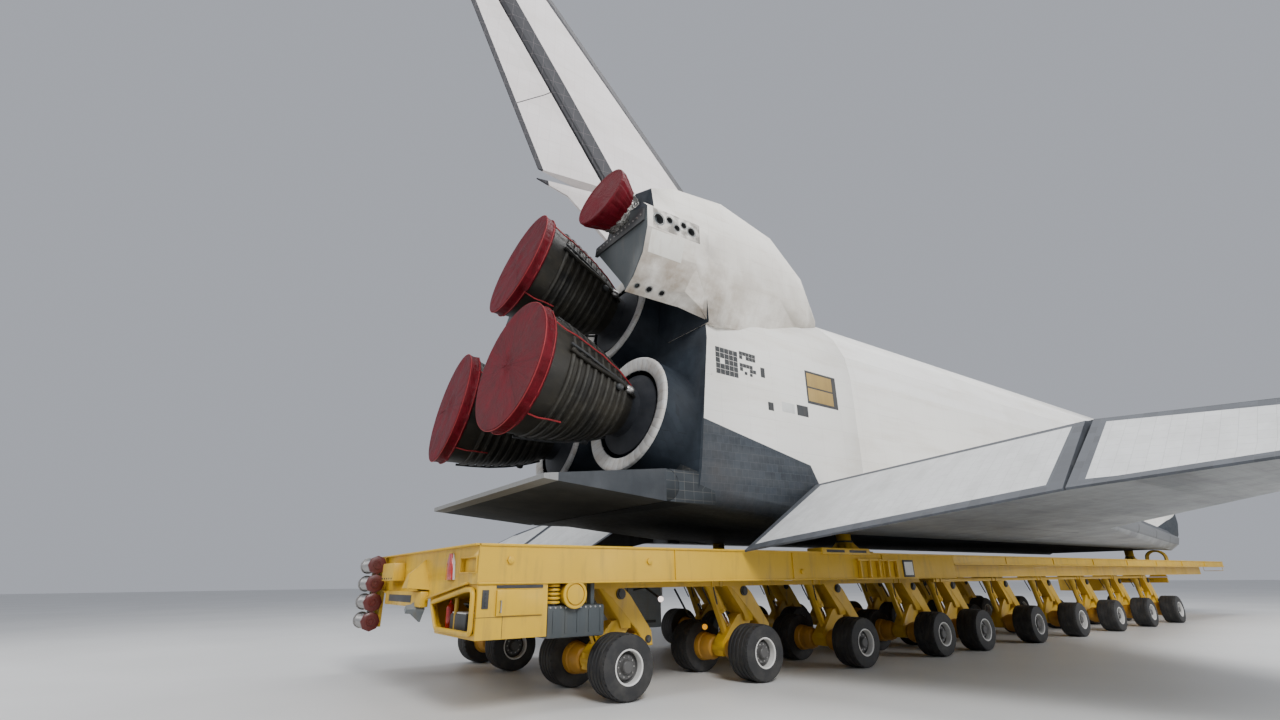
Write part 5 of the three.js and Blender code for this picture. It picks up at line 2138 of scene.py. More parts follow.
    def cover(self, place: EnginePlace) -> Piece:
        """The fabric cover: a puckered disc and a skirt drawn in by a cord.

        Args:
            place: Which engine.

        Returns:
            The piece.
        """
        s = self.sizes
        start, lip = (self.radius_at(along) + s.cover_slack for along in (s.cover_start, s.exit))
        face = s.cover_end
        outer = [(face - 0.1, r) for r in s.face_radii]
        hem = [(face - 0.25, 44.0), (face - 0.9, lip + 0.7), (face - 2.2, lip + 1.2)]
        skirt = [
            (165.2, lip + 1.1), (164.2, lip + 0.9), (163.2, lip + 0.8), (162.2, lip + 0.6),
            (161.2, start + 1.4), (160.4, start + 1.4), (159.7, start + 1.8), (159.0, start + 2.0),
            (158.2, start + 1.3),
        ]
        inner = [(s.cover_start, start + 0.3), (s.exit + 0.02, lip), (s.exit + 0.02, 0.0)]
        rows = [*outer, *hem, *skirt, *inner]
        piece = self.lathe(place, "cover", f"engine_cover_{place.name}_cloth", rows, 180)
        self.pucker(piece, place, face - 0.5)
        return piece

    def pucker(self, piece: Piece, place: EnginePlace, face: float) -> None:
        """Pulls folds into a cover's skirt and lets its face sag between them.

        Args:
            piece: The cover.
            place: Which engine.
            face: Where its face lies, inches from the gimbal.
        """
        frame = Bench.frame(place.origin(), place.axis())
        back = frame.inverted()
        chance = random.Random(place.name)
        phases = [chance.uniform(0, 2 * math.pi) for _ in range(8)]
        counts, weights = (13, 21, 34, 47, 7, 3, 5, 60), (1, 1, 1.3, 1.6, 1, 1, 1, 2.2)
        for vertex in piece.data.vertices:
            spot = back @ vertex.co / INCH
            radius = math.hypot(spot.x, spot.y)
            turn = math.atan2(spot.y, spot.x)
            if radius < 0.5 or spot.z < self.sizes.cover_start + 0.2:
                continue
            folds = sum(math.sin(n * turn + p) / w for n, p, w in zip(counts, phases, weights))
            share = radius / 44.0
            if spot.z >= face:
                bow = 0.5 * math.sin(2.4 * turn + 5.0 * share + phases[0])
                bow += 0.3 * math.sin(11 * share + phases[1])
                pull = 0.16 * folds * share**3
                spot.z -= max(0.0, 0.55 + bow * (1 - share**2) + pull) if radius < 43 else 0.2
            elif spot.z > 166.9 and radius < 44:
                continue
            else:
                low = (165.5 - spot.z) / 6.0
                push = 1.0 + max(-0.3, min(1.3, 0.3 * folds * max(0.15, min(1.0, low)))) / radius
                spot.x *= push
                spot.y *= push
            vertex.co = frame @ (spot * INCH)

    def ring(self, place: EnginePlace) -> Piece:
        """The quilted white ring on the base.

        Args:
            place: Which engine.

        Returns:
            The piece.
        """
        return self.lathe(place, "quilt", f"base_ring_{place.name}", self.ring_rows, 120, True)


@dataclass(frozen=True)
class WheelSizes:
    """A wheelset's sizes in metres, from the middle of its axle."""

    radius: float = 0.45
    inner: float = 0.55
    outer: float = 1.05
    rim: float = 0.242
    tread_steps: int = 60
    drum: float = 0.215
    # Each ring of bolts: finish, distance along the axle, radius and count
    bolts: tuple[tuple[str, float, float, int], ...] = (
        ("steel", 0.955, 0.135, 10), ("orange", 0.475, 0.165, 8),
    )
    shaft: tuple[Row, ...] = ((-0.3, 0), (-0.3, 0.058), (0.3, 0.058), (0.3, 0))


class Wheelsets(Assembly):
    """Nineteen axles, each with two tyres, rims and yellow drums."""

    sizes: WheelSizes = WheelSizes()

    def build(self) -> None:
        """Makes one wheelset and copies it to every place."""
        model = self.model()
        for name in sorted(n for n in self.nodes if n.startswith("wheelset_")):
            low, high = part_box(name)
            middle = (low + high) / 2
            centre = Vector((middle.x, middle.y, self.sizes.radius))
            piece = Bench.copy(model, name + "_tyres", Matrix.Translation(centre))
            self.hand_over(piece, self.body_of(name), Slot.TYRE, [name])
        bpy.data.objects.remove(model)

    def model(self) -> Piece:
        """A wheelset about the origin, its axle along Y.

        Returns:
            The piece.
        """
        s = self.sizes
        parts = []
        for axis in (PORT, STARBOARD):
            parts.append(self.tyre(axis))
            for key, rows in self.wheel_rows().items():
                parts.append(self.turned(key, rows, Vector(), axis, 48, False, 30))
            for key, along, circle, count in s.bolts:
                rows = [
                    (along - 0.04, 0.0), (along - 0.04, 0.014), (along, 0.014), (along + 0.006, 0.009),
                    (along + 0.006, 0),
                ]
                bolt = self.turned(key, rows, Vector((circle, 0, 0)), axis, 6)
                turns = [Matrix.Rotation(2 * math.pi * i / count, 4, "Y") for i in range(count)]
                parts.append(Bench.repeat(bolt, turns))
        parts.append(self.turned("steel", s.shaft, Vector(), PORT, 24))
        return Bench.join("wheelset_model", parts)

    def wheel_rows(self) -> dict[str, list[Row]]:
        """The pale rim, the dark disc within it and the drum behind, each as rows from edge to axis.

        Returns:
            Rows by the name of their finish.
        """
        s = self.sizes
        return {
            "rim": [
                (0.9, s.rim - 0.004), (1.0, s.rim - 0.004), (1.03, s.rim + 0.004), (1.042, s.rim),
                (1.044, s.rim - 0.01), (1.038, s.rim - 0.022), (1.02, s.rim - 0.026), (0.93, s.rim - 0.028),
            ],
            "disc": [
                (0.6, s.rim - 0.02), (0.93, s.rim - 0.02), (0.9, 0.195), (0.92, 0.18), (0.95, 0.16),
                (0.95, 0.105), (0.965, 0.095), (1.005, 0.088), (1.018, 0.075), (1.02, 0.03), (1.02, 0.0),
            ],
            "orange": [
                (0.2, 0.07), (0.2, 0.15), (0.22, 0.18), (0.3, s.drum), (0.44, s.drum), (0.46, 0.235),
                (0.5, 0.24), (0.57, 0.25), (0.57, 0.0),
            ],
        }

    def tyre(self, axis: Vector) -> Piece:
        """A tyre with ribs round its crown and blocks on its shoulders.

        Args:
            axis: Which way it faces.

        Returns:
            The piece.
        """
        s = self.sizes
        middle = (s.inner + s.outer) / 2
        half = (s.outer - s.inner) / 2
        side = [
            (0.9, s.rim - 0.02), (0.985, s.rim + 0.01), (0.99, s.rim + 0.06), (0.975, 0.39), (0.93, 0.43),
            (0.84, 0.444),
        ]
        crown = []
        for edge in (0.62, 0.24):
            crown += [(edge, 0.449), (edge - 0.02, 0.437), (edge - 0.1, 0.437), (edge - 0.12, 0.45)]
        right = [(middle + half * across, radius) for across, radius in [*side, *crown]]
        left = [(2 * middle - along, radius) for along, radius in reversed(right)]
        rows = right + left + [(middle, s.rim - 0.03)]
        tyre = self.turned("tyre", rows, Vector(), axis, s.tread_steps, True, 30)
        Bench.edit(tyre)
        bpy.ops.mesh.select_mode(type="FACE")
        bpy.ops.mesh.select_all(action="DESELECT")
        bpy.ops.object.mode_set(mode="OBJECT")
        for face in tyre.data.polygons:
            reach = math.hypot(face.center.x, face.center.z)
            turn = math.atan2(face.center.z, face.center.x) / (2 * math.pi) * s.tread_steps
            shoulder = reach > 0.425 and abs(abs(face.center.y) - middle) > 0.75 * half
            face.select = shoulder and int(turn + 100.5) % 2 == 0
        bpy.ops.object.mode_set(mode="EDIT")
        bpy.ops.mesh.inset(thickness=0.004, depth=-0.012, use_individual=True)
        bpy.ops.object.mode_set(mode="OBJECT")
        return Bench.smooth(tyre, 30)


@dataclass(frozen=True)
class PodSizes:
    """The pod's fittings in inches at its stations: thrusters are station, height and radius."""

    side_y: float = 130.5
    thrusters: tuple[tuple[float, float, float], ...] = (
        (1550.5, 483.0, 5.2), (1540.5, 485.5, 3.4), (1533.5, 481.0, 3.2), (1527.0, 485.5, 3.2),
        (1519.5, 482.5, 4.2),
    )
    verniers: tuple[tuple[float, float], ...] = ((1554.0, 2.6), (1543.0, 3.0), (1531.0, 2.8))
    slope: tuple[Row, Row] = ((130.5, 474.0), (124.0, 455.0))
    lower: tuple[Row, Row] = ((112.0, 441.0), (100.0, 433.0))
    panel: tuple[float, float] = (1526.0, 1557.0)
    aft_xo: float = 1552.0
    housing_xo: float = 1561.0
    base_xo: float = 1496.0
    # The engine's line, as two stations on the port side
    line: tuple[Place, Place] = ((1518, 88, 492), (1578, 94, 512))
    # The cover's skirt: where its wide end is, its radius there and how fast it narrows
    skirt: tuple[float, float, float] = (62.5, 25.6, 0.466)
    # The ledge's bolts: the first one's Y, their step and their count
    ledge_bolts: tuple[float, float, int] = (62.0, 5.2, 13)
    face: tuple[Row, ...] = (
        (57, 487), (128, 487), (129.2, 475), (123, 456.5), (111.5, 442.5), (100.5, 435), (97.5, 440),
    )
    fairing: tuple[Row, ...] = ((127, 466), (123.6, 455.6), (112, 441.6), (100, 433.6), (97, 441))
    fairing_xo: tuple[float, float] = (1514.0, 1479.0)
    fairing_turns: tuple[float, ...] = (2, 16, 30, 44, 58, 70)
    ledge: tuple[Row, ...] = ((58, 481.5), (127, 480), (128, 489), (60, 488.5))
    bolt: tuple[Row, ...] = ((-0.1, 0), (-0.1, 0.8), (0.5, 0.7), (0.6, 0.0))
    # A thruster's rim: inches along, or shares of the radius behind the skin, and shares of the radius
    rim: tuple[Row, ...] = (
        (-0.7, 0.8), (0.05, 0.86), (0.12, 0.94), (0.05, 1.04), (-0.1, 1.08), (-0.1, 0.84),
    )
    foil: tuple[Row, ...] = (
        (33, 9.0), (33.5, 14.5), (35.5, 16.6), (37.5, 16.2), (39.5, 17.2), (42, 17.0), (45.5, 18.4),
        (47.6, 18.9), (48, 17.2),
    )
    bell: tuple[Row, ...] = (
        (27.1, 0), (27.1, 8), (36, 8), (38, 9.8), (42, 13), (47, 16.6), (52, 19.5), (58, 22.2), (64, 24.2),
        (63.6, 23.4), (52, 18.4), (42, 12.0), (38, 3), (38, 0),
    )
    cover: tuple[Row, ...] = (
        (65.6, 0), (65.5, 8), (65.6, 16), (65.4, 22.6), (65.8, 24.4), (65.7, 25.7), (64.8, 26.2),
        (62.5, 25.6), (60, 24.6), (57.5, 23.5), (55, 22.3), (52.5, 21.1), (50, 19.8), (47.6, 18.7),
        (46, 17.6), (45.4, 16.6), (52, 19.9), (58, 22.6), (64.02, 24.6), (64.02, 0),
    )


class ManoeuvringPods(Assembly):
    """The two pods beside the fin, their thrusters, engines and covers."""

    sizes: PodSizes = PodSizes()

    def build(self) -> None:
        """Makes the pods and turns their engines."""
        for sign, side in SIDES:
            self.pod(sign, side)
            self.fittings(sign, side)
            self.engine(sign, side)

    def pod(self, sign: int, side: str) -> None:
        """The pod's skin, with its thruster mouths sunk in.

        Args:
            sign: 1 to port, -1 to starboard.
            side: The side's name.
        """
        s = self.sizes
        name = "oms_pod_" + side
        mouths = self.mouths(sign)
        made = Bench.refined(self.nodes[name], name + "_skin", 32)
        for spot, axis, radius in mouths:
            cup = [(-0.9 * radius, 0.0), (-0.9 * radius, 0.6 * radius), (1.0, 0.86 * radius), (1.0, 0.0)]
            Bench.drill(made, self.inches("dark", cup, spot, axis, 24))

        def choose(spot: Vector, normal: Vector) -> int:
            """2 inside a thruster's mouth, 3 on the base and the upper rear, 1 on the rear, and else 0.

            Args:
                spot: The middle of a face.
                normal: Which way it faces.

            Returns:
                The material's number.
            """
            for middle, axis, radius in mouths:
                away = spot - middle
                if away.dot(axis) < -0.002 and (away - axis * away.dot(axis)).length < radius * INCH:
                    return 2
            inward = normal.y * sign < -0.2 and spot.z < z_of(493) and spot.x < x_of(s.base_xo - 8)
            if normal.x < -0.6 and (spot.x > x_of(s.base_xo) or spot.z > z_of(490)) or inward:
                return 3
            return int(normal.x < -0.8)

        self.coat(made, "pod", "slate", "dark", "shield", choose=choose)
        self.hand_over(Bench.smooth(made, 32), "airframe", Slot.WHITE_TILE, [name])

    def mouths(self, sign: int) -> list[tuple[Vector, Vector, float]]:
        """Where each thruster opens, which way it faces and its radius in inches.

        Args:
            sign: 1 to port, -1 to starboard.

        Returns:
            A spot, a direction and a radius for each.
        """
        s = self.sizes
        found = [(station(xo, sign * s.side_y, zo), Vector((0, sign, 0)), r) for xo, zo, r in s.thrusters]
        (y0, z0), (y1, z1) = s.lower
        down = Vector((0, sign * (z0 - z1), -(y0 - y1))).normalized()
        for xo, radius in s.verniers:
            found.append((station(xo, sign * (y0 + y1) / 2, (z0 + z1) / 2), down, radius))
        return found

    def fittings(self, sign: int, side: str) -> None:
        """Rims round the thrusters, the panels, the bolted ledge and the foil.

        Args:
            sign: 1 to port, -1 to starboard.
            side: The side's name.
        """
        s = self.sizes
        pieces = []
        for spot, axis, radius in self.mouths(sign):
            rows = [(along * (1.0 if along > 0 else radius), across * radius) for along, across in s.rim]
            pieces.append(self.inches("grey", rows, spot, axis, 32, True))
        (y0, z0), (y1, z1) = s.slope
        out = Vector((0, sign * (z0 - z1), -(y0 - y1))).normalized()
        front, back = s.panel
        outline = []
        for xo, share in ((front, 0.06), (back, 0.06), (back, 0.94), (front, 0.94)):
            corner = station(xo, sign * (y0 + (y1 - y0) * share), z0 + (z1 - z0) * share)
            outline.append(corner - out * 0.003)
        pieces.append(self.coat(Bench.slab("pale_panel", outline, out * 0.008, 0.002), "panel"))
        plates = (("slate", s.face, s.aft_xo - 1, 10.1), ("dark", s.ledge, s.housing_xo - 1, 2.6))
        for key, outline, start, deep in plates:
            corners = [station(start, sign * y, zo) for y, zo in outline]
            plate = Bench.slab("rear_plate", corners, Vector((-deep * INCH, 0, 0)), 0.004)
            pieces.append(self.coat(plate, key))
        first, step, count = s.ledge_bolts
        head = station(s.housing_xo + 1.6, sign * first, 485.5)
        bolt = self.inches("steel", s.bolt, head, AFT, 8)
        pieces.append(Bench.row(bolt, Vector((0, sign * step * INCH, 0)), count))
        wrap = self.inches("foil", s.foil, *self.line(sign), 72, True)
        chance = random.Random(side)
        for vertex in wrap.data.vertices:
            vertex.co += Vector([chance.uniform(-0.75, 0.75) * INCH for _ in range(3)])
        pieces.append(wrap)
        fairing = [station(s.fairing_xo[0], sign * y, zo) for y, zo in s.fairing]
        start = station(s.fairing_xo[1], sign * 95, 466)
        for turn in (math.radians(degrees) for degrees in s.fairing_turns):
            aim = Vector((0, -sign * math.cos(turn), math.sin(turn)))
            hit = Bench.touch(self.nodes["oms_pod_" + side], start - aim * 4, aim)
            if hit:
                fairing.append(hit[0] + aim * 0.012)
        pieces.append(self.coat(Bench.hull("fairing", fairing), "pod"))
        self.fix("pod_fittings_" + side, pieces, Slot.STEEL)

    def line(self, sign: int) -> tuple[Vector, Vector]:
        """The pod engine's start and direction."""
        origin, end = (station(xo, y * sign, zo) for xo, y, zo in self.sizes.line)
        return origin, (end - origin).normalized()

    def engine(self, sign: int, side: str) -> None:
        """The pod's engine and its tapered cover.

        Args:
            sign: 1 to port, -1 to starboard.
            side: The side's name.
        """
        s = self.sizes
        origin, axis = self.line(sign)
        engine = self.inches("bell", s.bell, origin, axis, 64, name=f"oms_engine_{side}_bell")
        self.hand_over(engine, "airframe", Slot.BELL, ["oms_engine_" + side])
        cover = self.inches("cover", s.cover, origin, axis, 120, name=f"oms_cover_{side}_cloth")
        frame = Bench.frame(origin, axis)
        back = frame.inverted()
        for vertex in cover.data.vertices:
            spot = back @ vertex.co / INCH
            if 45.8 < spot.z < 63 and math.hypot(spot.x, spot.y) > self.skirt_at(spot.z) - 0.35:
                turn = math.atan2(spot.y, spot.x)
                push = 1 + 0.012 * (math.sin(17 * turn) + math.sin(29 * turn + 1.0)) + 0.012
                vertex.co = frame @ (Vector((spot.x * push, spot.y * push, spot.z)) * INCH)
        self.hand_over(cover, "airframe", Slot.COVER, ["oms_cover_" + side])

    def skirt_at(self, along: float) -> float:
        """The radius of the cover's skirt at a distance along it, in inches."""
        wide_end, radius, taper = self.sizes.skirt
        return radius - taper * (wide_end - along)

    def inches(
        self, key: str, rows: Iterable[Row], origin: Vector, axis: Vector, steps: int, closed: bool = False,
        name: str = "turned",
    ) -> Piece:
        """A turned piece in one finish, its rows in inches."""
        return self.turned(key, rows, origin, axis, steps, closed, 32, INCH, name)


@dataclass(frozen=True)
class DeckSizes:
    """The transporter's sizes in metres, as its solids have them."""

    rear: float = -17.64
    step: float = -6.1
    front: float = 15.3
    half: float = 3.05
    top: float = 2.11
    deep: float = 1.6
    shallow: float = 1.89
    bogie_y: float = 2.0
    stations: tuple[float, ...] = (-15.27, -12.5, -9.75, -6.95, -5.19, -2.45, 0.2, 2.95, 5.7, 8.45)
    # Each post's X, Y and radius, and half the width of its foot plate
    posts: tuple[tuple[float, float, float, float], ...] = (
        (-8.81, 2.1, 0.16, 0.42), (-8.81, -2.1, 0.16, 0.42), (14.78, 0, 0.17, 0.45),
    )


@dataclass(frozen=True)
class ArmSizes:
    """A bent arm's sizes in metres about its axle. Outlines and the ram's ends are X and Z."""

    upper: tuple[Row, ...] = (
        (-0.5, 1.76), (0.1, 1.76), (0.42, 1.55), (0.6, 1.4), (1.02, 0.84), (1.04, 0.62), (0.9, 0.62),
        (0.72, 0.86), (0.22, 1.36), (-0.04, 1.56), (-0.5, 1.585),
    )
    lower: tuple[Row, ...] = (
        (0.9, 0.86), (1.0, 0.8), (0.99, 0.64), (0.2, 0.33), (-0.1, 0.33), (-0.1, 0.56), (0.1, 0.6),
    )
    upper_half: float = 0.18
    lower_half: float = 0.12
    turntable: float = -0.26
    # Each pin's finish, X, Z, radius and half length
    pins: tuple[tuple[str, float, float, float, float], ...] = (
        ("dark", 0.4, 1.42, 0.085, 0.235), ("dark", 0.94, 0.72, 0.06, 0.225),
        ("steel", -0.34, 1.6, 0.055, 0.22), ("steel", 0.3, 0.56, 0.05, 0.17),
        ("yellow", 0.0, 0.45, 0.135, 0.19), ("dark", 0.0, 0.45, 0.1, 0.2),
    )
    ram: tuple[Row, Row] = ((-0.33, 1.6), (0.3, 0.56))
    rod: float = 0.069
    barrel: tuple[Row, ...] = (
        (0.02, 0.05), (0.04, 0.085), (0.1, 0.09), (0.55, 0.09), (0.56, 0.1), (0.62, 0.1), (0.63, 0.07),
        (0.63, 0.05),
    )
    flange: tuple[Row, ...] = (
        (1.75, 0.0), (1.75, 0.36), (1.765, 0.375), (1.79, 0.375), (1.8, 0.36), (1.8, 0.345), (1.87, 0.342),
        (1.88, 0.0),
    )
    bolt_circle: float = 0.355


@dataclass(frozen=True)
class CabSizes:
    """A driver's cab: places are metres in from the deck's end, out from its middle, and up."""

    opening: tuple[Row, ...] = ((2.98, 1.0), (1.58, 1.0), (1.28, 1.345), (2.72, 1.535), (2.98, 1.535))
    rim_start: Place = (-0.02, 2.2, 1.0)
    seat: tuple[float, float] = (0.48, 2.12)
    wheel: Place = (0.3, 2.2, 1.28)
    wheel_radius: float = 0.15
    bottle_foot: Place = (0.16, 1.62, 0.98)
    bottle: tuple[Row, ...] = (
        (0.0, 0.0), (0.0, 0.055), (0.01, 0.06), (0.3, 0.06), (0.34, 0.045), (0.36, 0.02), (0.4, 0.018),
        (0.4, 0.0),
    )
    boxes: tuple[BoxRow, ...] = (
        ("dark", (0.08, 0.3), (1.85, 2.5), (0.97, 1.22), 0.03),
        ("pale", (0.1, 0.28), (1.9, 2.45), (1.215, 1.235), 0.005),
        ("yellow", (0.27, 0.94), (3.03, 3.085), (1.21, 1.53), 0.012),
        # Painted shade: a dark strip standing for the shaded slot on the cabinet's top.
        ("dark", (0.27, 0.94), (3.04, 3.052), (1.545, 1.585), 0.0),
        ("dark", (0.375, 0.38), (3.04, 3.049), (0.94, 1.21), 0.0),
        # Painted shadow: a dark line along the cabinet's bottom.
        ("dark", (0.0, 0.94), (3.04, 3.049), (1.195, 1.2), 0.0),
        ("dark", (0.08, 0.17), (3.04, 3.056), (1.3, 1.53), 0.005),
        ("steel", (0.31, 0.33), (3.08, 3.12), (1.25, 1.265), 0.0),
        ("steel", (0.31, 0.33), (3.08, 3.12), (1.385, 1.4), 0.0),
    )
    # Each bar's finish, radius and ends
    bars: tuple[tuple[str, float, Place, Place], ...] = (
        ("yellow", 0.03, (0.1, 2.05, 0.98), (0.1, 2.05, 1.42)),
        ("dark", 0.02, (0.26, 2.2, 1.15), (0.3, 2.2, 1.28)),
        ("steel", 0.01, (0.32, 3.12, 1.25), (0.32, 3.12, 1.4)),
    )
    knobs: tuple[Place, ...] = tuple((0.125, 3.06, 1.34 + 0.05 * i) for i in range(4))


@dataclass(frozen=True)
class EndSizes:
    """What stands on an end plate: X is how far out of the plate, Y and Z are as in the frame."""

    boxes: tuple[BoxRow, ...] = (
        ("yellow", (-0.01, 0.2), (0.5, 1.3), (1.66, 1.96), 0.02),
        ("yellow", (-0.01, 0.12), (-1.0, 1.2), (1.27, 1.5), 0.02),
        ("dark", (-0.01, 0.126), (-0.5, 0.9), (1.33, 1.44), 0.006),
    )
    wedge: tuple[Place, ...] = (
        (0.0, -0.7, 1.98), (0.0, -0.35, 1.52), (0.0, -1.05, 1.52), (0.3, -0.55, 1.55), (0.3, -0.85, 1.55),
        (0.26, -0.66, 1.75), (0.26, -0.74, 1.75),
    )
    recess: tuple[Row, ...] = (
        (2.7, 1.745), (2.37, 1.745), (2.37, 1.945), (2.99, 1.945), (2.99, 1.745), (2.7, 1.745),
    )
    slope: tuple[Row, ...] = ((-1.06, 1.39), (-2.75, 1.6), (-2.75, 1.63), (-1.06, 1.42))
    reflectors: tuple[float, float] = (-2.0, 2.0)
    # Each reflector's layers: finish, half width and depth
    layers: tuple[tuple[str, float, float], ...] = (("pale", 0.17, 0.03), ("red_lens", 0.14, 0.05))
    # A reflector's outline: share of its half width, and height
    bullet: tuple[Row, ...] = (
        (-1, 1.66), (1, 1.66), (0.75, 1.9), (0.35, 2.02), (-0.35, 2.02), (-0.75, 1.9),
    )
    tow_eye: tuple[Row, ...] = (
        (-0.005, 0.0), (-0.005, 0.19), (0.02, 0.19), (0.16, 0.07), (0.24, 0.06), (0.25, 0.0),
    )


@dataclass(frozen=True)
class ReelSizes:
    """A hose reel along Y, in metres: distance to port and radius."""

    x: float = -17.85
    z: float = 0.96
    pitch: float = 0.33
    count: int = 4
    core: float = 0.118
    ridges: int = 12
    ridge: tuple[Row, ...] = ((0.0, 0.0), (0.012, 0.01), (0.03, 0.01), (0.042, 0.0))
    start: tuple[Row, ...] = ((1.77, 0.09), (1.77, 0.118))
    end: tuple[Row, ...] = (
        (2.49, 0.118), (2.49, 0.15), (2.505, 0.15), (2.505, 0.06), (2.53, 0.05), (2.53, 0.0),
    )
    flange: tuple[Row, ...] = (
        (1.69, 0.0), (1.69, 0.04), (1.675, 0.05), (1.675, 0.075), (1.695, 0.08), (1.695, 0.15),
        (1.703, 0.165), (1.72, 0.17), (1.755, 0.17), (1.77, 0.16), (1.77, 0.0),
    )


@dataclass(frozen=True)
class TankSizes:
    """The tank and the drum beside it, in metres."""

    cap: tuple[Row, ...] = (
        (0, 0.0), (0, 0.06), (0.04, 0.06), (0.05, 0.075), (0.08, 0.075), (0.09, 0.06), (0.09, 0.0),
    )
    cap_foot: Place = (-16.1, -2.5, 1.27)
    lid: tuple[Row, ...] = (
        (-0.1, 0.168), (0.0, 0.168), (0.0, 0.188), (0.03, 0.19), (0.04, 0.182), (0.04, 0.15), (0.02, 0.145),
        (0.02, 0.135), (0.045, 0.13), (0.05, 0.1), (0.052, 0),
    )
    lid_middle: Place = (-16.2, -3.03, 1.45)
    hoops: Row = (-16.47, -2.9)


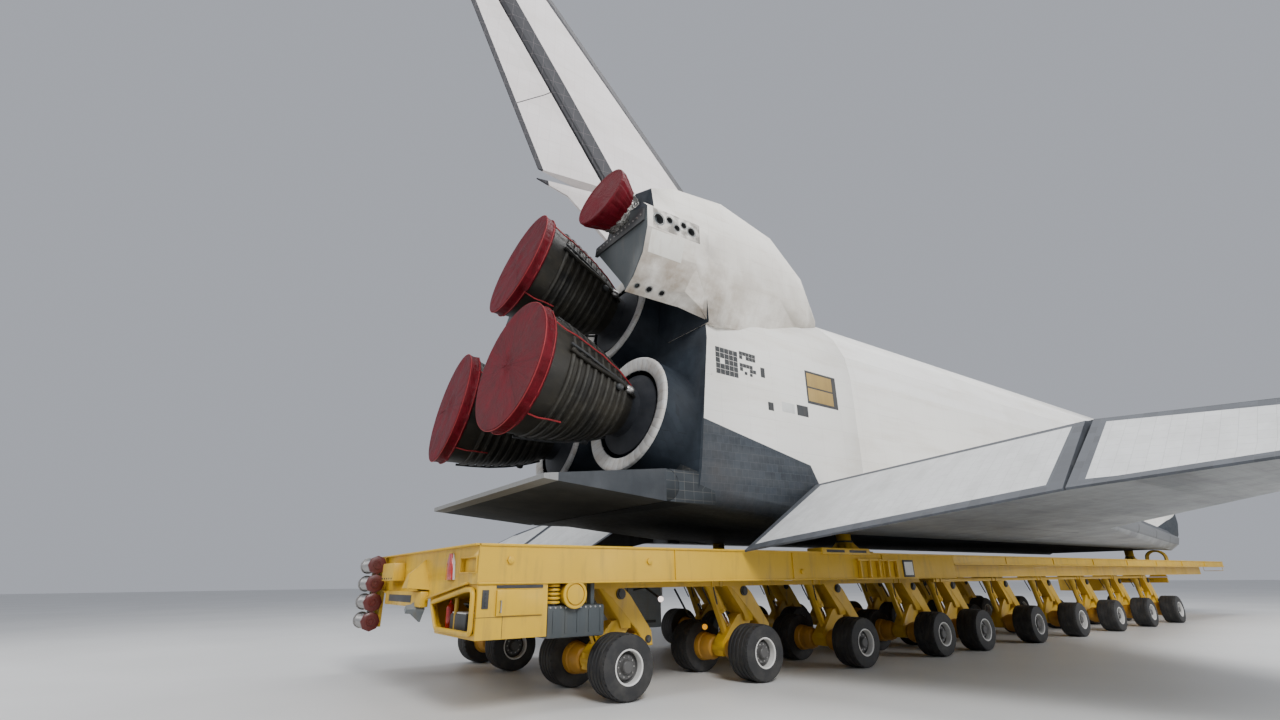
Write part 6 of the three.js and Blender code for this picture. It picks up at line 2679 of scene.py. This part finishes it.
class Transporter(Assembly):
    """The yellow transporter under the orbiter, with its cabs, arms, reels and fittings."""

    sizes: DeckSizes = DeckSizes()
    arm_sizes: ArmSizes = ArmSizes()
    cab_sizes: CabSizes = CabSizes()
    end_sizes: EndSizes = EndSizes()
    reel_sizes: ReelSizes = ReelSizes()
    tank_sizes: TankSizes = TankSizes()

    def build(self) -> None:
        """Dresses the transporter's solids and adds what is bolted to them."""

        def on_deck(spot: Vector, normal: Vector) -> int:
            """1 on the deck's top, and else 0."""
            return int(normal.z > 0.9 and spot.z > self.sizes.top - 0.06)

        for node in ("transporter_frame_rear", "transporter_frame_front"):
            self.refine(node, ["yellow", "deck"], Slot.YELLOW, 30, on_deck, 0.008)
        self.cab("driver_cab_rear", self.sizes.rear, -1, -1)
        self.cab("driver_cab_front", self.sizes.front, 1, 1)
        for node in ("aft_support_port", "aft_support_starboard", "forward_support"):
            self.refine(node, ["yellow"], Slot.YELLOW, 30)
        self.refine("power_unit", ["grey"], Slot.GREY, 30, None, 0.02)
        self.refine("fuel_tank", ["slate"], Slot.GREY, 30, None, 0.01)
        self.arms()
        self.collars()
        self.ends()
        self.reels()
        self.edges()
        self.underside()
        self.tank_and_drum()

    def box(self, key: str, x: Sequence[float], y: Sequence[float], z: Row, bevel: float = 0.012) -> Piece:
        """A rounded box between two X, two Y and two Z values, in one finish."""
        low, high = Vector((min(x), min(y), min(z))), Vector((max(x), max(y), max(z)))
        return self.coat(Bench.block(key + "_box", low, high, bevel), key)

    def pipe(self, key: str, radius: float, *points: Place, bend: float = 0.0) -> Piece:
        """A rigid pipe through points, in one finish."""
        line = [Vector(point) for point in points]
        return self.coat(Bench.pipe(key + "_pipe", line, radius, 10, bend), key)

    def slab(self, key: str, outline: Sequence[Vector], push: Vector, bevel: float) -> Piece:
        """A flat outline pushed out to a thickness, in one finish."""
        return self.coat(Bench.slab(key + "_slab", outline, push, bevel), key)

    def pin(self, key: str, x: float, z: float, radius: float, half: float) -> Piece:
        """A pin through an arm at Y 0, with rounded ends.

        Args:
            key: The finish's name.
            x: Where it is.
            z: How high it is.
            radius: Its radius.
            half: Half its length.

        Returns:
            The piece.
        """
        rows = [
            (0.0, radius), (half - 0.02, radius), (half - 0.02, 0.75 * radius), (half, 0.7 * radius),
            (half, 0.0),
        ]
        rows = [(-along, r) for along, r in reversed(rows)] + rows[1:]
        return self.turned(key, rows, Vector((x, 0, z)), PORT, 24)

    def bolts(self, key: str, radius: float, places: Sequence[Place], axis: Place) -> Piece:
        """Hexagon heads at places, all facing one way.

        Args:
            key: The finish's name.
            radius: Their radius.
            places: Where they are.
            axis: Which way they face.

        Returns:
            The heads as one piece.
        """
        rows = [
            (-0.01, 0.0), (-0.01, radius), (0.6 * radius, radius), (0.75 * radius, 0.7 * radius),
            (0.75 * radius, 0),
        ]
        made = self.turned(key, rows, Vector(places[0]), Vector(axis), 6)
        return Bench.repeat(made, [Matrix.Translation(Vector(p) - Vector(places[0])) for p in places])

    def plate(self, outline: Sequence[Row], y: float, rim: float) -> Piece:
        """An arm's side plate at a Y, with a raised rim round its edge.

        Args:
            outline: Its corners as X and Z.
            y: Which side of the arm.
            rim: The rim's width.

        Returns:
            The piece.
        """
        out = 1.0 if y > 0 else -1.0
        corners = [Vector((x, y - 0.004 * out, z)) for x, z in outline]
        made = Bench.slab("side_plate", corners, Vector((0, 0.02 * out, 0)))
        for face in made.data.polygons:
            face.select = face.normal.y * out > 0.9 and face.center.y * out > abs(y)
        bpy.context.view_layer.objects.active = made
        bpy.ops.object.mode_set(mode="EDIT")
        bpy.ops.mesh.select_mode(type="FACE")
        bpy.ops.mesh.inset(thickness=rim, depth=-0.012)
        bpy.ops.object.mode_set(mode="OBJECT")
        return self.coat(Bench.smooth(made, 30), "yellow")

    def arm(self) -> Piece:
        """One bent arm's plates, pins, ram, hub and turntable flange, about an axle at X 0, Y 0.

        Returns:
            The piece.
        """
        a = self.arm_sizes
        pieces = []
        for outline, half, rim in ((a.upper, a.upper_half, 0.035), (a.lower, a.lower_half, 0.03)):
            core = half - 0.002
            corners = [Vector((x, -core, z)) for x, z in outline]
            pieces.append(self.slab("yellow", corners, Vector((0, 2 * core, 0)), 0.006))
            pieces += [self.plate(outline, half, rim), self.plate(outline, -half, rim)]
        for sign, _ in SIDES:
            hose = ((-0.3, 0.1 * sign, 1.74), (-0.33, 0.16 * sign, 1.5), (-0.2, 0.1 * sign, 1.2))
            pieces.append(self.pipe("dark", 0.013, *hose, bend=0.08))
            rib = self.box("yellow", (-0.46, -0.40), (0.181 * sign, 0.28 * sign), (1.5, 1.76), 0.006)
            pieces.append(Bench.row(rib, Vector((0.2, 0, 0)), 2))
        pieces += [self.pin(*pin) for pin in a.pins]
        top, end = (Vector((x, 0, z)) for x, z in a.ram)
        length, line = (end - top).length, (end - top).normalized()
        pieces.append(self.turned("yellow", a.barrel, top, line, 24, True, 30))
        rod = [(0.6, 0.0), (0.6, a.rod), (length - 0.06, a.rod), (length, 0.05), (length, 0)]
        pieces.append(self.turned("chrome", rod, top, line, 20))
        pieces.append(self.turned("yellow", a.flange, Vector((a.turntable, 0, 0)), UP, 40))
        turns = [2 * math.pi * i / 16 for i in range(16)]
        circle = a.bolt_circle
        ring = [(a.turntable + circle * math.cos(t), circle * math.sin(t), 1.752) for t in turns]
        pieces.append(self.bolts("dark", 0.014, ring, (0, 0, -1)))
        pieces.append(self.box("yellow", (-0.2, 0.02), (-0.24, 0.24), (1.77, 1.86), 0.01))
        return Bench.join("arm_fittings", pieces)

    def arms(self) -> None:
        """Copies the arm's fittings to every bogie."""
        s = self.sizes
        places = [
            Matrix.Translation((x, sign * s.bogie_y, 0))
            for x in s.stations for sign, side in SIDES if x != s.stations[-1] or side == "starboard"
        ]
        self.hand_over(Bench.repeat(self.arm(), places), "airframe", Slot.YELLOW)

    def collars(self) -> None:
        """Collars and gussets round the posts under the orbiter, and the arch before the front one."""
        top = self.sizes.top
        pieces = []
        for x, y, radius, plate in self.sizes.posts:
            rows = [
                (0.06, radius), (0.06, radius + 0.05), (0.12, radius + 0.05), (0.13, radius + 0.012),
                (0.13, radius),
            ]
            pieces.append(self.turned("yellow", rows, Vector((x, y, top)), UP, 40, True))
            collar = Bench.hoop("collar", radius + 0.004, 0.022, Vector((x, y, top + 0.28)), UP)
            pieces.append(self.coat(collar, "dark"))
            for turn in (0.25, 0.75, 1.25, 1.75):
                way = Vector((math.cos(math.pi * turn), math.sin(math.pi * turn), 0))
                across = Vector((-way.y, way.x, 0)) * 0.012
                base = Vector((x, y, top + 0.058)) - across
                near = base + way * (radius - 0.01)
                edge = [near, base + way * (plate * 0.9), near + Vector((0, 0, 0.24))]
                pieces.append(self.slab("yellow", edge, across * 2, 0.003))
            reach = plate * 0.84
            heads = [(x + a * reach, y + b * reach, top + 0.066) for a in (-1, 1) for b in (-1, 1)]
            pieces.append(self.bolts("steel", 0.03, heads, (0, 0, 1)))
        turns = [math.pi * i / 10 for i in range(11)]
        for x in (13.9, 14.1):
            arch = [(x, -1.2 + 0.34 * math.cos(t), 2.3 + 0.3 * math.sin(t)) for t in turns]
            pieces.append(self.pipe("yellow", 0.045, (x, -0.86, 2.1), *arch, (x, -1.54, 2.1)))
        self.fix("post_fittings", pieces, Slot.YELLOW)

    def cab(self, node: str, end: float, outward: int, side: int) -> None:
        """A driver's cab: its shell, rim, seat covers, console, wheel, bottle and outer cabinet.

        Args:
            node: The solid that it refines.
            end: The X of the deck's end.
            outward: 1 at the front end, -1 at the rear.
            side: 1 to port, -1 to starboard.
        """
        c = self.cab_sizes

        def seat(spot: Vector, _: Vector) -> int:
            """1 on the seat, and else 0.

            Args:
                spot: The middle of a face.

            Returns:
                The material's number.
            """
            along, across = c.seat
            near = abs(abs(end - spot.x) - along) < 0.25 and abs(abs(spot.y) - across) < 0.24
            return int(near and 0.98 < spot.z < 1.45)

        def at(along: float, across: float, up: float) -> Place:
            """A place so far in from the end, so far out from the middle, and so high."""
            return (end - outward * along, side * across, up)

        made = Bench.refined(self.nodes[node], node + "_skin", 30, 0.006)
        cutter = [Vector(at(-0.08, y, z)) for y, z in c.opening]
        Bench.drill(made, Bench.slab("cutter", cutter, Vector((-outward * 0.16, 0, 0))))
        self.coat(made, "yellow", "seat", choose=seat)
        self.hand_over(Bench.smooth(made, 30), self.body_of(node), Slot.YELLOW, [node])
        loop = [at(c.rim_start[0], y, z) for y, z in c.opening]
        start = at(*c.rim_start)
        pieces = [self.pipe("yellow", 0.034, start, *loop[1:], loop[0], start, bend=0.09)]
        pieces += [self.pipe(key, radius, at(*low), at(*high)) for key, radius, low, high in c.bars]
        for key, x, y, z, bevel in c.boxes:
            pieces.append(self.box(key, [end - outward * a for a in x], [side * b for b in y], z, bevel))
        wheel, across = Vector(at(*c.wheel)), Vector((0, c.wheel_radius, 0))
        tilt = Vector((-outward * 0.5, 0, 1)).normalized()
        rim = Bench.hoop("steering_wheel", c.wheel_radius, 0.014, wheel, tilt, 32)
        pieces.append(self.coat(rim, "dark"))
        pieces.append(self.pipe("dark", 0.012, tuple(wheel - across), tuple(wheel + across)))
        pieces.append(self.turned("red_lens", c.bottle, Vector(at(*c.bottle_foot)), UP, 24))
        pieces.append(self.bolts("dark", 0.012, [at(*knob) for knob in c.knobs], (0, side, 0)))
        self.fix(node + "_fittings", pieces, Slot.YELLOW)

    def ends(self) -> None:
        """What stands on the two end plates: boxes, brackets, reflectors, frames, lips and the tow eye."""
        s, e = self.sizes, self.end_sizes
        pieces = []
        for end, out in ((s.rear, -1), (s.front, 1)):
            for key, x, y, z, bevel in e.boxes:
                pieces.append(self.box(key, [end + out * a for a in x], y, z, bevel))
            heads = [(end + out * 0.2, 0.58 + 0.16 * i, 1.7) for i in range(5)]
            pieces.append(self.bolts("dark", 0.016, heads, (out, 0, 0)))
            foot = end - out * 0.005
            wedge = Bench.hull("bracket", [Vector((foot + out * a, y, z)) for a, y, z in e.wedge])
            pieces.append(self.coat(wedge, "yellow"))
            for y in e.reflectors:
                for key, wide, deep in e.layers:
                    edge = [Vector((foot, y + a * wide, z)) for a, z in e.bullet]
                    pieces.append(self.slab(key, edge, Vector((out * deep, 0, 0)), 0.008))
            for sign, _ in SIDES:
                frame = [(end + out * 0.004, sign * y, z) for y, z in e.recess]
                pieces.append(self.pipe("yellow", 0.012, *frame))
            strip = ((end - 0.06, end + 0.06), (-s.half, s.half), (2.085, 2.112))
            pieces.append(self.box("yellow", *strip, 0.006))
        for sign, _ in SIDES:
            lip = [Vector((s.rear - 0.004, sign * y, z)) for y, z in e.slope]
            pieces.append(self.slab("yellow", lip, Vector((-0.05, 0, 0)), 0.004))
        pieces.append(self.turned("grey", e.tow_eye, Vector((s.rear, -0.68, 1.24)), AFT, 4))
        self.fix("end_fittings", pieces, Slot.YELLOW)

    def reels(self) -> None:
        """The reels' ribbed steel barrels and red flanges, and the plate behind them."""
        r = self.reel_sizes

        def choose(spot: Vector, _: Vector) -> int:
            """0 on the flanges, 1 on the plate and web, 2 on the barrels."""
            if spot.x > r.x + 0.13:
                return 1
            return 0 if spot.y < 1.765 else 2

        self.refine("hose_reels", ["reel", "yellow", "steel"], Slot.REEL, 30, choose)
        starts = [1.8 + 0.055 * i for i in range(r.ridges)]
        ridges = [(start + along, r.core + rise) for start in starts for along, rise in r.ridge]
        spot = Vector((r.x, 0, r.z))
        barrel = self.turned("steel", [*r.start, *ridges, *r.end], spot, PORT, 32, False, 40)
        flange = self.turned("reel", r.flange, spot, PORT, 8, False, 30)
        unit = Bench.join("reel_unit", [barrel, flange])
        self.hand_over(Bench.row(unit, Vector((0, 0, r.pitch)), r.count), "airframe", Slot.REEL)

    def edges(self) -> None:
        """Flange strips, joints, ribs, the slotted box and the bare board along the deck's sides."""
        s = self.sizes
        skin, lid = (s.half - 0.01, s.half + 0.022), s.top - 0.03
        # Finish, X, distance out, Z and bevel, then how far apart and how many
        rows = [
            ("yellow", (-14.4, -14.38), skin, (s.deep + 0.03, lid), 0.003, 2.75, 3),
            ("yellow", (-3.6, -3.57), skin, (s.shallow + 0.03, lid), 0.003, 2.72, 7),
            ("yellow", (-9.72, -9.68), (3.04, 3.12), (1.63, 1.98), 0.006, 0.31, 5),
            ("yellow", (-9.76, -8.4), (3.04, 3.11), (1.95, 1.99), 0.006, 0.0, 1),
            ("yellow", (-10.82, -9.34), (2.72, 3.1), (2.06, 2.185), 0.012, 0.0, 1),
            ("dark", (-10.7, -10.15), (3.09, 3.103), (2.1, 2.15), 0.0, 0.7, 2),
            ("dark", (-8.17, -7.79), (3.045, 3.066), (1.63, 1.98), 0.006, 0.0, 1),
            ("pale", (-8.13, -7.83), (3.06, 3.07), (1.67, 1.94), 0.003, 0.0, 1),
        ]
        for back, ahead, low in ((s.rear, s.step, s.deep), (s.step, s.front, s.shallow)):
            for z in ((lid, s.top + 0.001), (low - 0.002, low + 0.025)):
                rows.append(("yellow", (back + 0.01, ahead - 0.01), skin, z, 0.004, 0.0, 1))
        pieces = []
        for sign, _ in SIDES:
            for key, x, out, z, bevel, step, count in rows:
                made = self.box(key, x, [sign * y for y in out], z, bevel)
                pieces.append(Bench.row(made, Vector((step, 0, 0)), count))
            eyes = [(-17.2, sign * s.half, 1.9), (-14.9, sign * s.half, 1.9), (-11.4, sign * s.half, 1.75)]
            pieces.append(self.bolts("yellow", 0.05, eyes, (0, sign, 0)))
            heads = [(s.rear + 0.35 + 0.46 * i, sign * (s.half + 0.02), s.deep + 0.012) for i in range(24)]
            pieces.append(self.bolts("yellow", 0.011, heads, (0, sign, 0)))
        self.fix("deck_edges", pieces, Slot.YELLOW)

    def underside(self) -> None:
        """Pipes, valve boxes and lamps under the deck, and the power unit's louvres and exhaust."""
        pieces = []
        for sign, _ in SIDES:
            for i, key in enumerate(("grey", "steel", "dark")):
                y, z, radius = sign * (0.72 + 0.09 * i), 1.68 - 0.02 * i, 0.028 - 0.006 * i
                pieces.append(self.pipe(key, radius, (-15.9, y, z), (-6.3, y, z)))
                pieces.append(self.pipe(key, radius, (-5.9, y, z + 0.06), (13.6, y, z + 0.06)))
            for x in self.sizes.stations:
                valves = self.box("grey", (x - 0.95, x - 0.6), (sign * 1.05, sign * 1.4), (1.62, 1.9))
                run = (
                    (x - 0.6, sign * 1.2, 1.75), (x - 0.45, sign * 1.5, 1.72), (x - 0.35, sign * 1.7, 1.72),
                )
                feed = ((x - 0.75, sign * 0.74, 1.66), (x - 0.75, sign * 1.06, 1.7))
                pieces += [valves, self.pipe("dark", 0.014, *run, bend=0.08)]
                pieces.append(self.pipe("steel", 0.012, *feed))
        slat = self.box("grey", (-14.5, -13.9), (-0.735, -0.715), (0.95, 0.975), 0.004)
        louvres = Bench.row(slat, Vector((0, 0, 0.045)), 13)
        pieces.append(louvres)
        for shift in ((0.95, 1.45, 0), (0.8, 0, 0)):
            pieces.append(Bench.copy(louvres, "louvres", Matrix.Translation(shift)))
        for y in (-0.727, 0.727):
            pieces.append(self.box("dark", (-13.68, -13.1), (y - 0.004, y + 0.004), (0.85, 0.9), 0.0))
            pieces.append(self.box("dark", (-13.765, -13.755), (y - 0.006, y + 0.006), (0.78, 1.62), 0.0))
        exhaust = ((-12.96, -0.4, 1.2), (-12.75, -0.4, 1.2), (-12.75, -0.4, 1.58))
        pieces.append(self.pipe("steel", 0.06, *exhaust, bend=0.1))
        lens = [(-0.02, 0.0), (-0.02, 0.045), (0.02, 0.05), (0.03, 0.04), (0.032, 0)]
        for key, (x, y, z) in (("white_lens", (-13.61, -1.6, 1.3)), ("amber_lens", (-12.59, -1.6, 0.79))):
            pieces.append(self.turned(key, lens, Vector((x, y, z)), Vector((-0.8, -0.5, 0)), 24))
            pieces.append(self.pipe("dark", 0.02, (x, y, z), (x, y + 0.5, z + 0.2), (x, y + 0.9, 1.45)))
        self.fix("underside_fittings", pieces, Slot.GREY)

    def tank_and_drum(self) -> None:
        """The tank's ribs, straps and cap, and the round cap and stacked hoops beside it."""
        t = self.tank_sizes
        x, y = t.hoops
        rib = self.box("slate", (-16.5, -16.475), (-2.985, -2.95), (0.95, 1.25), 0.004)
        heads = [(-16.54 + 0.08 * i, -2.975, 1.28) for i in range(11)]
        hoop = self.coat(Bench.hoop("stack_hoop", 0.085, 0.02, Vector((x, y, 1.35)), UP, 24), "yellow")
        self.fix("tank_fittings", [
            self.box("slate", (-16.58, -15.66), (-2.975, -2.4), (0.89, 1.31), 0.03),
            Bench.row(rib, Vector((0.19, 0, 0)), 5),
            self.bolts("steel", 0.014, heads, (0, -1, 0)),
            self.turned("dark", t.cap, Vector(t.cap_foot), UP, 24),
            self.turned("yellow", t.lid, Vector(t.lid_middle), STARBOARD, 48),
            self.pipe("dark", 0.05, (x, y, 1.3), (x, y, 1.6)),
            Bench.row(hoop, Vector((0, 0, 0.055)), 5),
        ], Slot.GREY)


@dataclass(frozen=True)
class PhotoCamera:
    """Where the picture is seen from, worked out from the orbiter's known sizes."""

    position: Place = (-20.618, -11.024, 1.633)
    yaw: float = 35.005
    pitch: float = 20.179
    roll: float = -0.630
    focal: float = 598.16
    width: float = 1280.0
    sensor: float = 36.0

    def build(self) -> None:
        """Makes the camera and sets it for the scene."""
        yaw, pitch, roll = (math.radians(a) for a in (self.yaw, self.pitch, self.roll))
        ahead = Vector((math.cos(pitch) * math.sin(yaw), math.cos(pitch) * math.cos(yaw), math.sin(pitch)))
        right = Vector((math.cos(yaw), -math.sin(yaw), 0.0))
        up = right.cross(ahead)
        turned = right * math.cos(roll) + up * math.sin(roll)
        top = up * math.cos(roll) - right * math.sin(roll)
        data = bpy.data.cameras.new("view")
        data.sensor_width = self.sensor
        data.lens = self.focal / self.width * self.sensor
        data.clip_start, data.clip_end = 0.1, 500.0
        camera = bpy.data.objects.new("view", data)
        aim = Matrix((turned, top, -ahead)).transposed().to_4x4()
        camera.matrix_world = Matrix.Translation(self.position) @ aim
        bpy.context.scene.collection.objects.link(camera)
        bpy.context.scene.camera = camera


class Studio:
    """A pale floor and soft light."""

    # Each lamp's name, place, target, width and power in watts
    lamps: tuple[tuple[str, Place, Place, float, float], ...] = (
        ("key", (-22, -30, 24), (-4, 0, 4), 12.0, 12500.0),
        ("fill", (-34, 8, 12), (-12, 0, 4), 10.0, 2200.0),
        ("top", (0, 0, 34), (0, 0, 0), 22.0, 9500.0),
        ("side", (10, -32, 10), (2, 0, 3), 12.0, 4200.0),
    )

    def build(self) -> None:
        """Makes the floor, the sky and the lamps."""
        Bench.clear()
        bpy.ops.mesh.primitive_plane_add(size=400, location=(0, 0, -0.002))
        floor = bpy.context.active_object
        floor.name = "floor"
        g = Graph("floor_paint")
        g.colour(g.lay((0.62, 0.62, 0.61), g.noise(g.spot, 0.2, 3.0), 0.4, 0.6, 1.0, (0.66, 0.66, 0.65)))
        g.set(roughness=0.45)
        floor.data.materials.append(g.material)
        world = bpy.data.worlds.new("studio")
        world.use_nodes = True
        world.node_tree.nodes["Background"].inputs[0].default_value = (0.86, 0.9, 1.0, 1.0)
        world.node_tree.nodes["Background"].inputs[1].default_value = 0.5
        bpy.context.scene.world = world
        for lamp in self.lamps:
            self.lamp(*lamp)

    def lamp(self, name: str, spot: Place, target: Place, size: float, power: float) -> None:
        """Adds a square soft lamp.

        Args:
            name: Its name.
            spot: Where it hangs.
            target: What it points at.
            size: Its width.
            power: Its power in watts.
        """
        data = bpy.data.lights.new(name, "AREA")
        data.size = size
        data.energy = power
        lamp = bpy.data.objects.new(name, data)
        lamp.location = spot
        lamp.rotation_euler = (Vector(target) - Vector(spot)).to_track_quat("-Z", "Y").to_euler()
        bpy.context.scene.collection.objects.link(lamp)


def main() -> None:
    """Builds the whole scene."""
    logging.basicConfig(level=logging.INFO, format="%(name)s %(message)s")
    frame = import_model()
    finishes = Finishes()
    finishes.build()
    for assembly in (Airframe, MainEngines, ManoeuvringPods, Wheelsets, Transporter):
        assembly(frame, finishes).build()
    PhotoCamera().build()
    Studio().build()


if __name__ == "__main__":
    main()
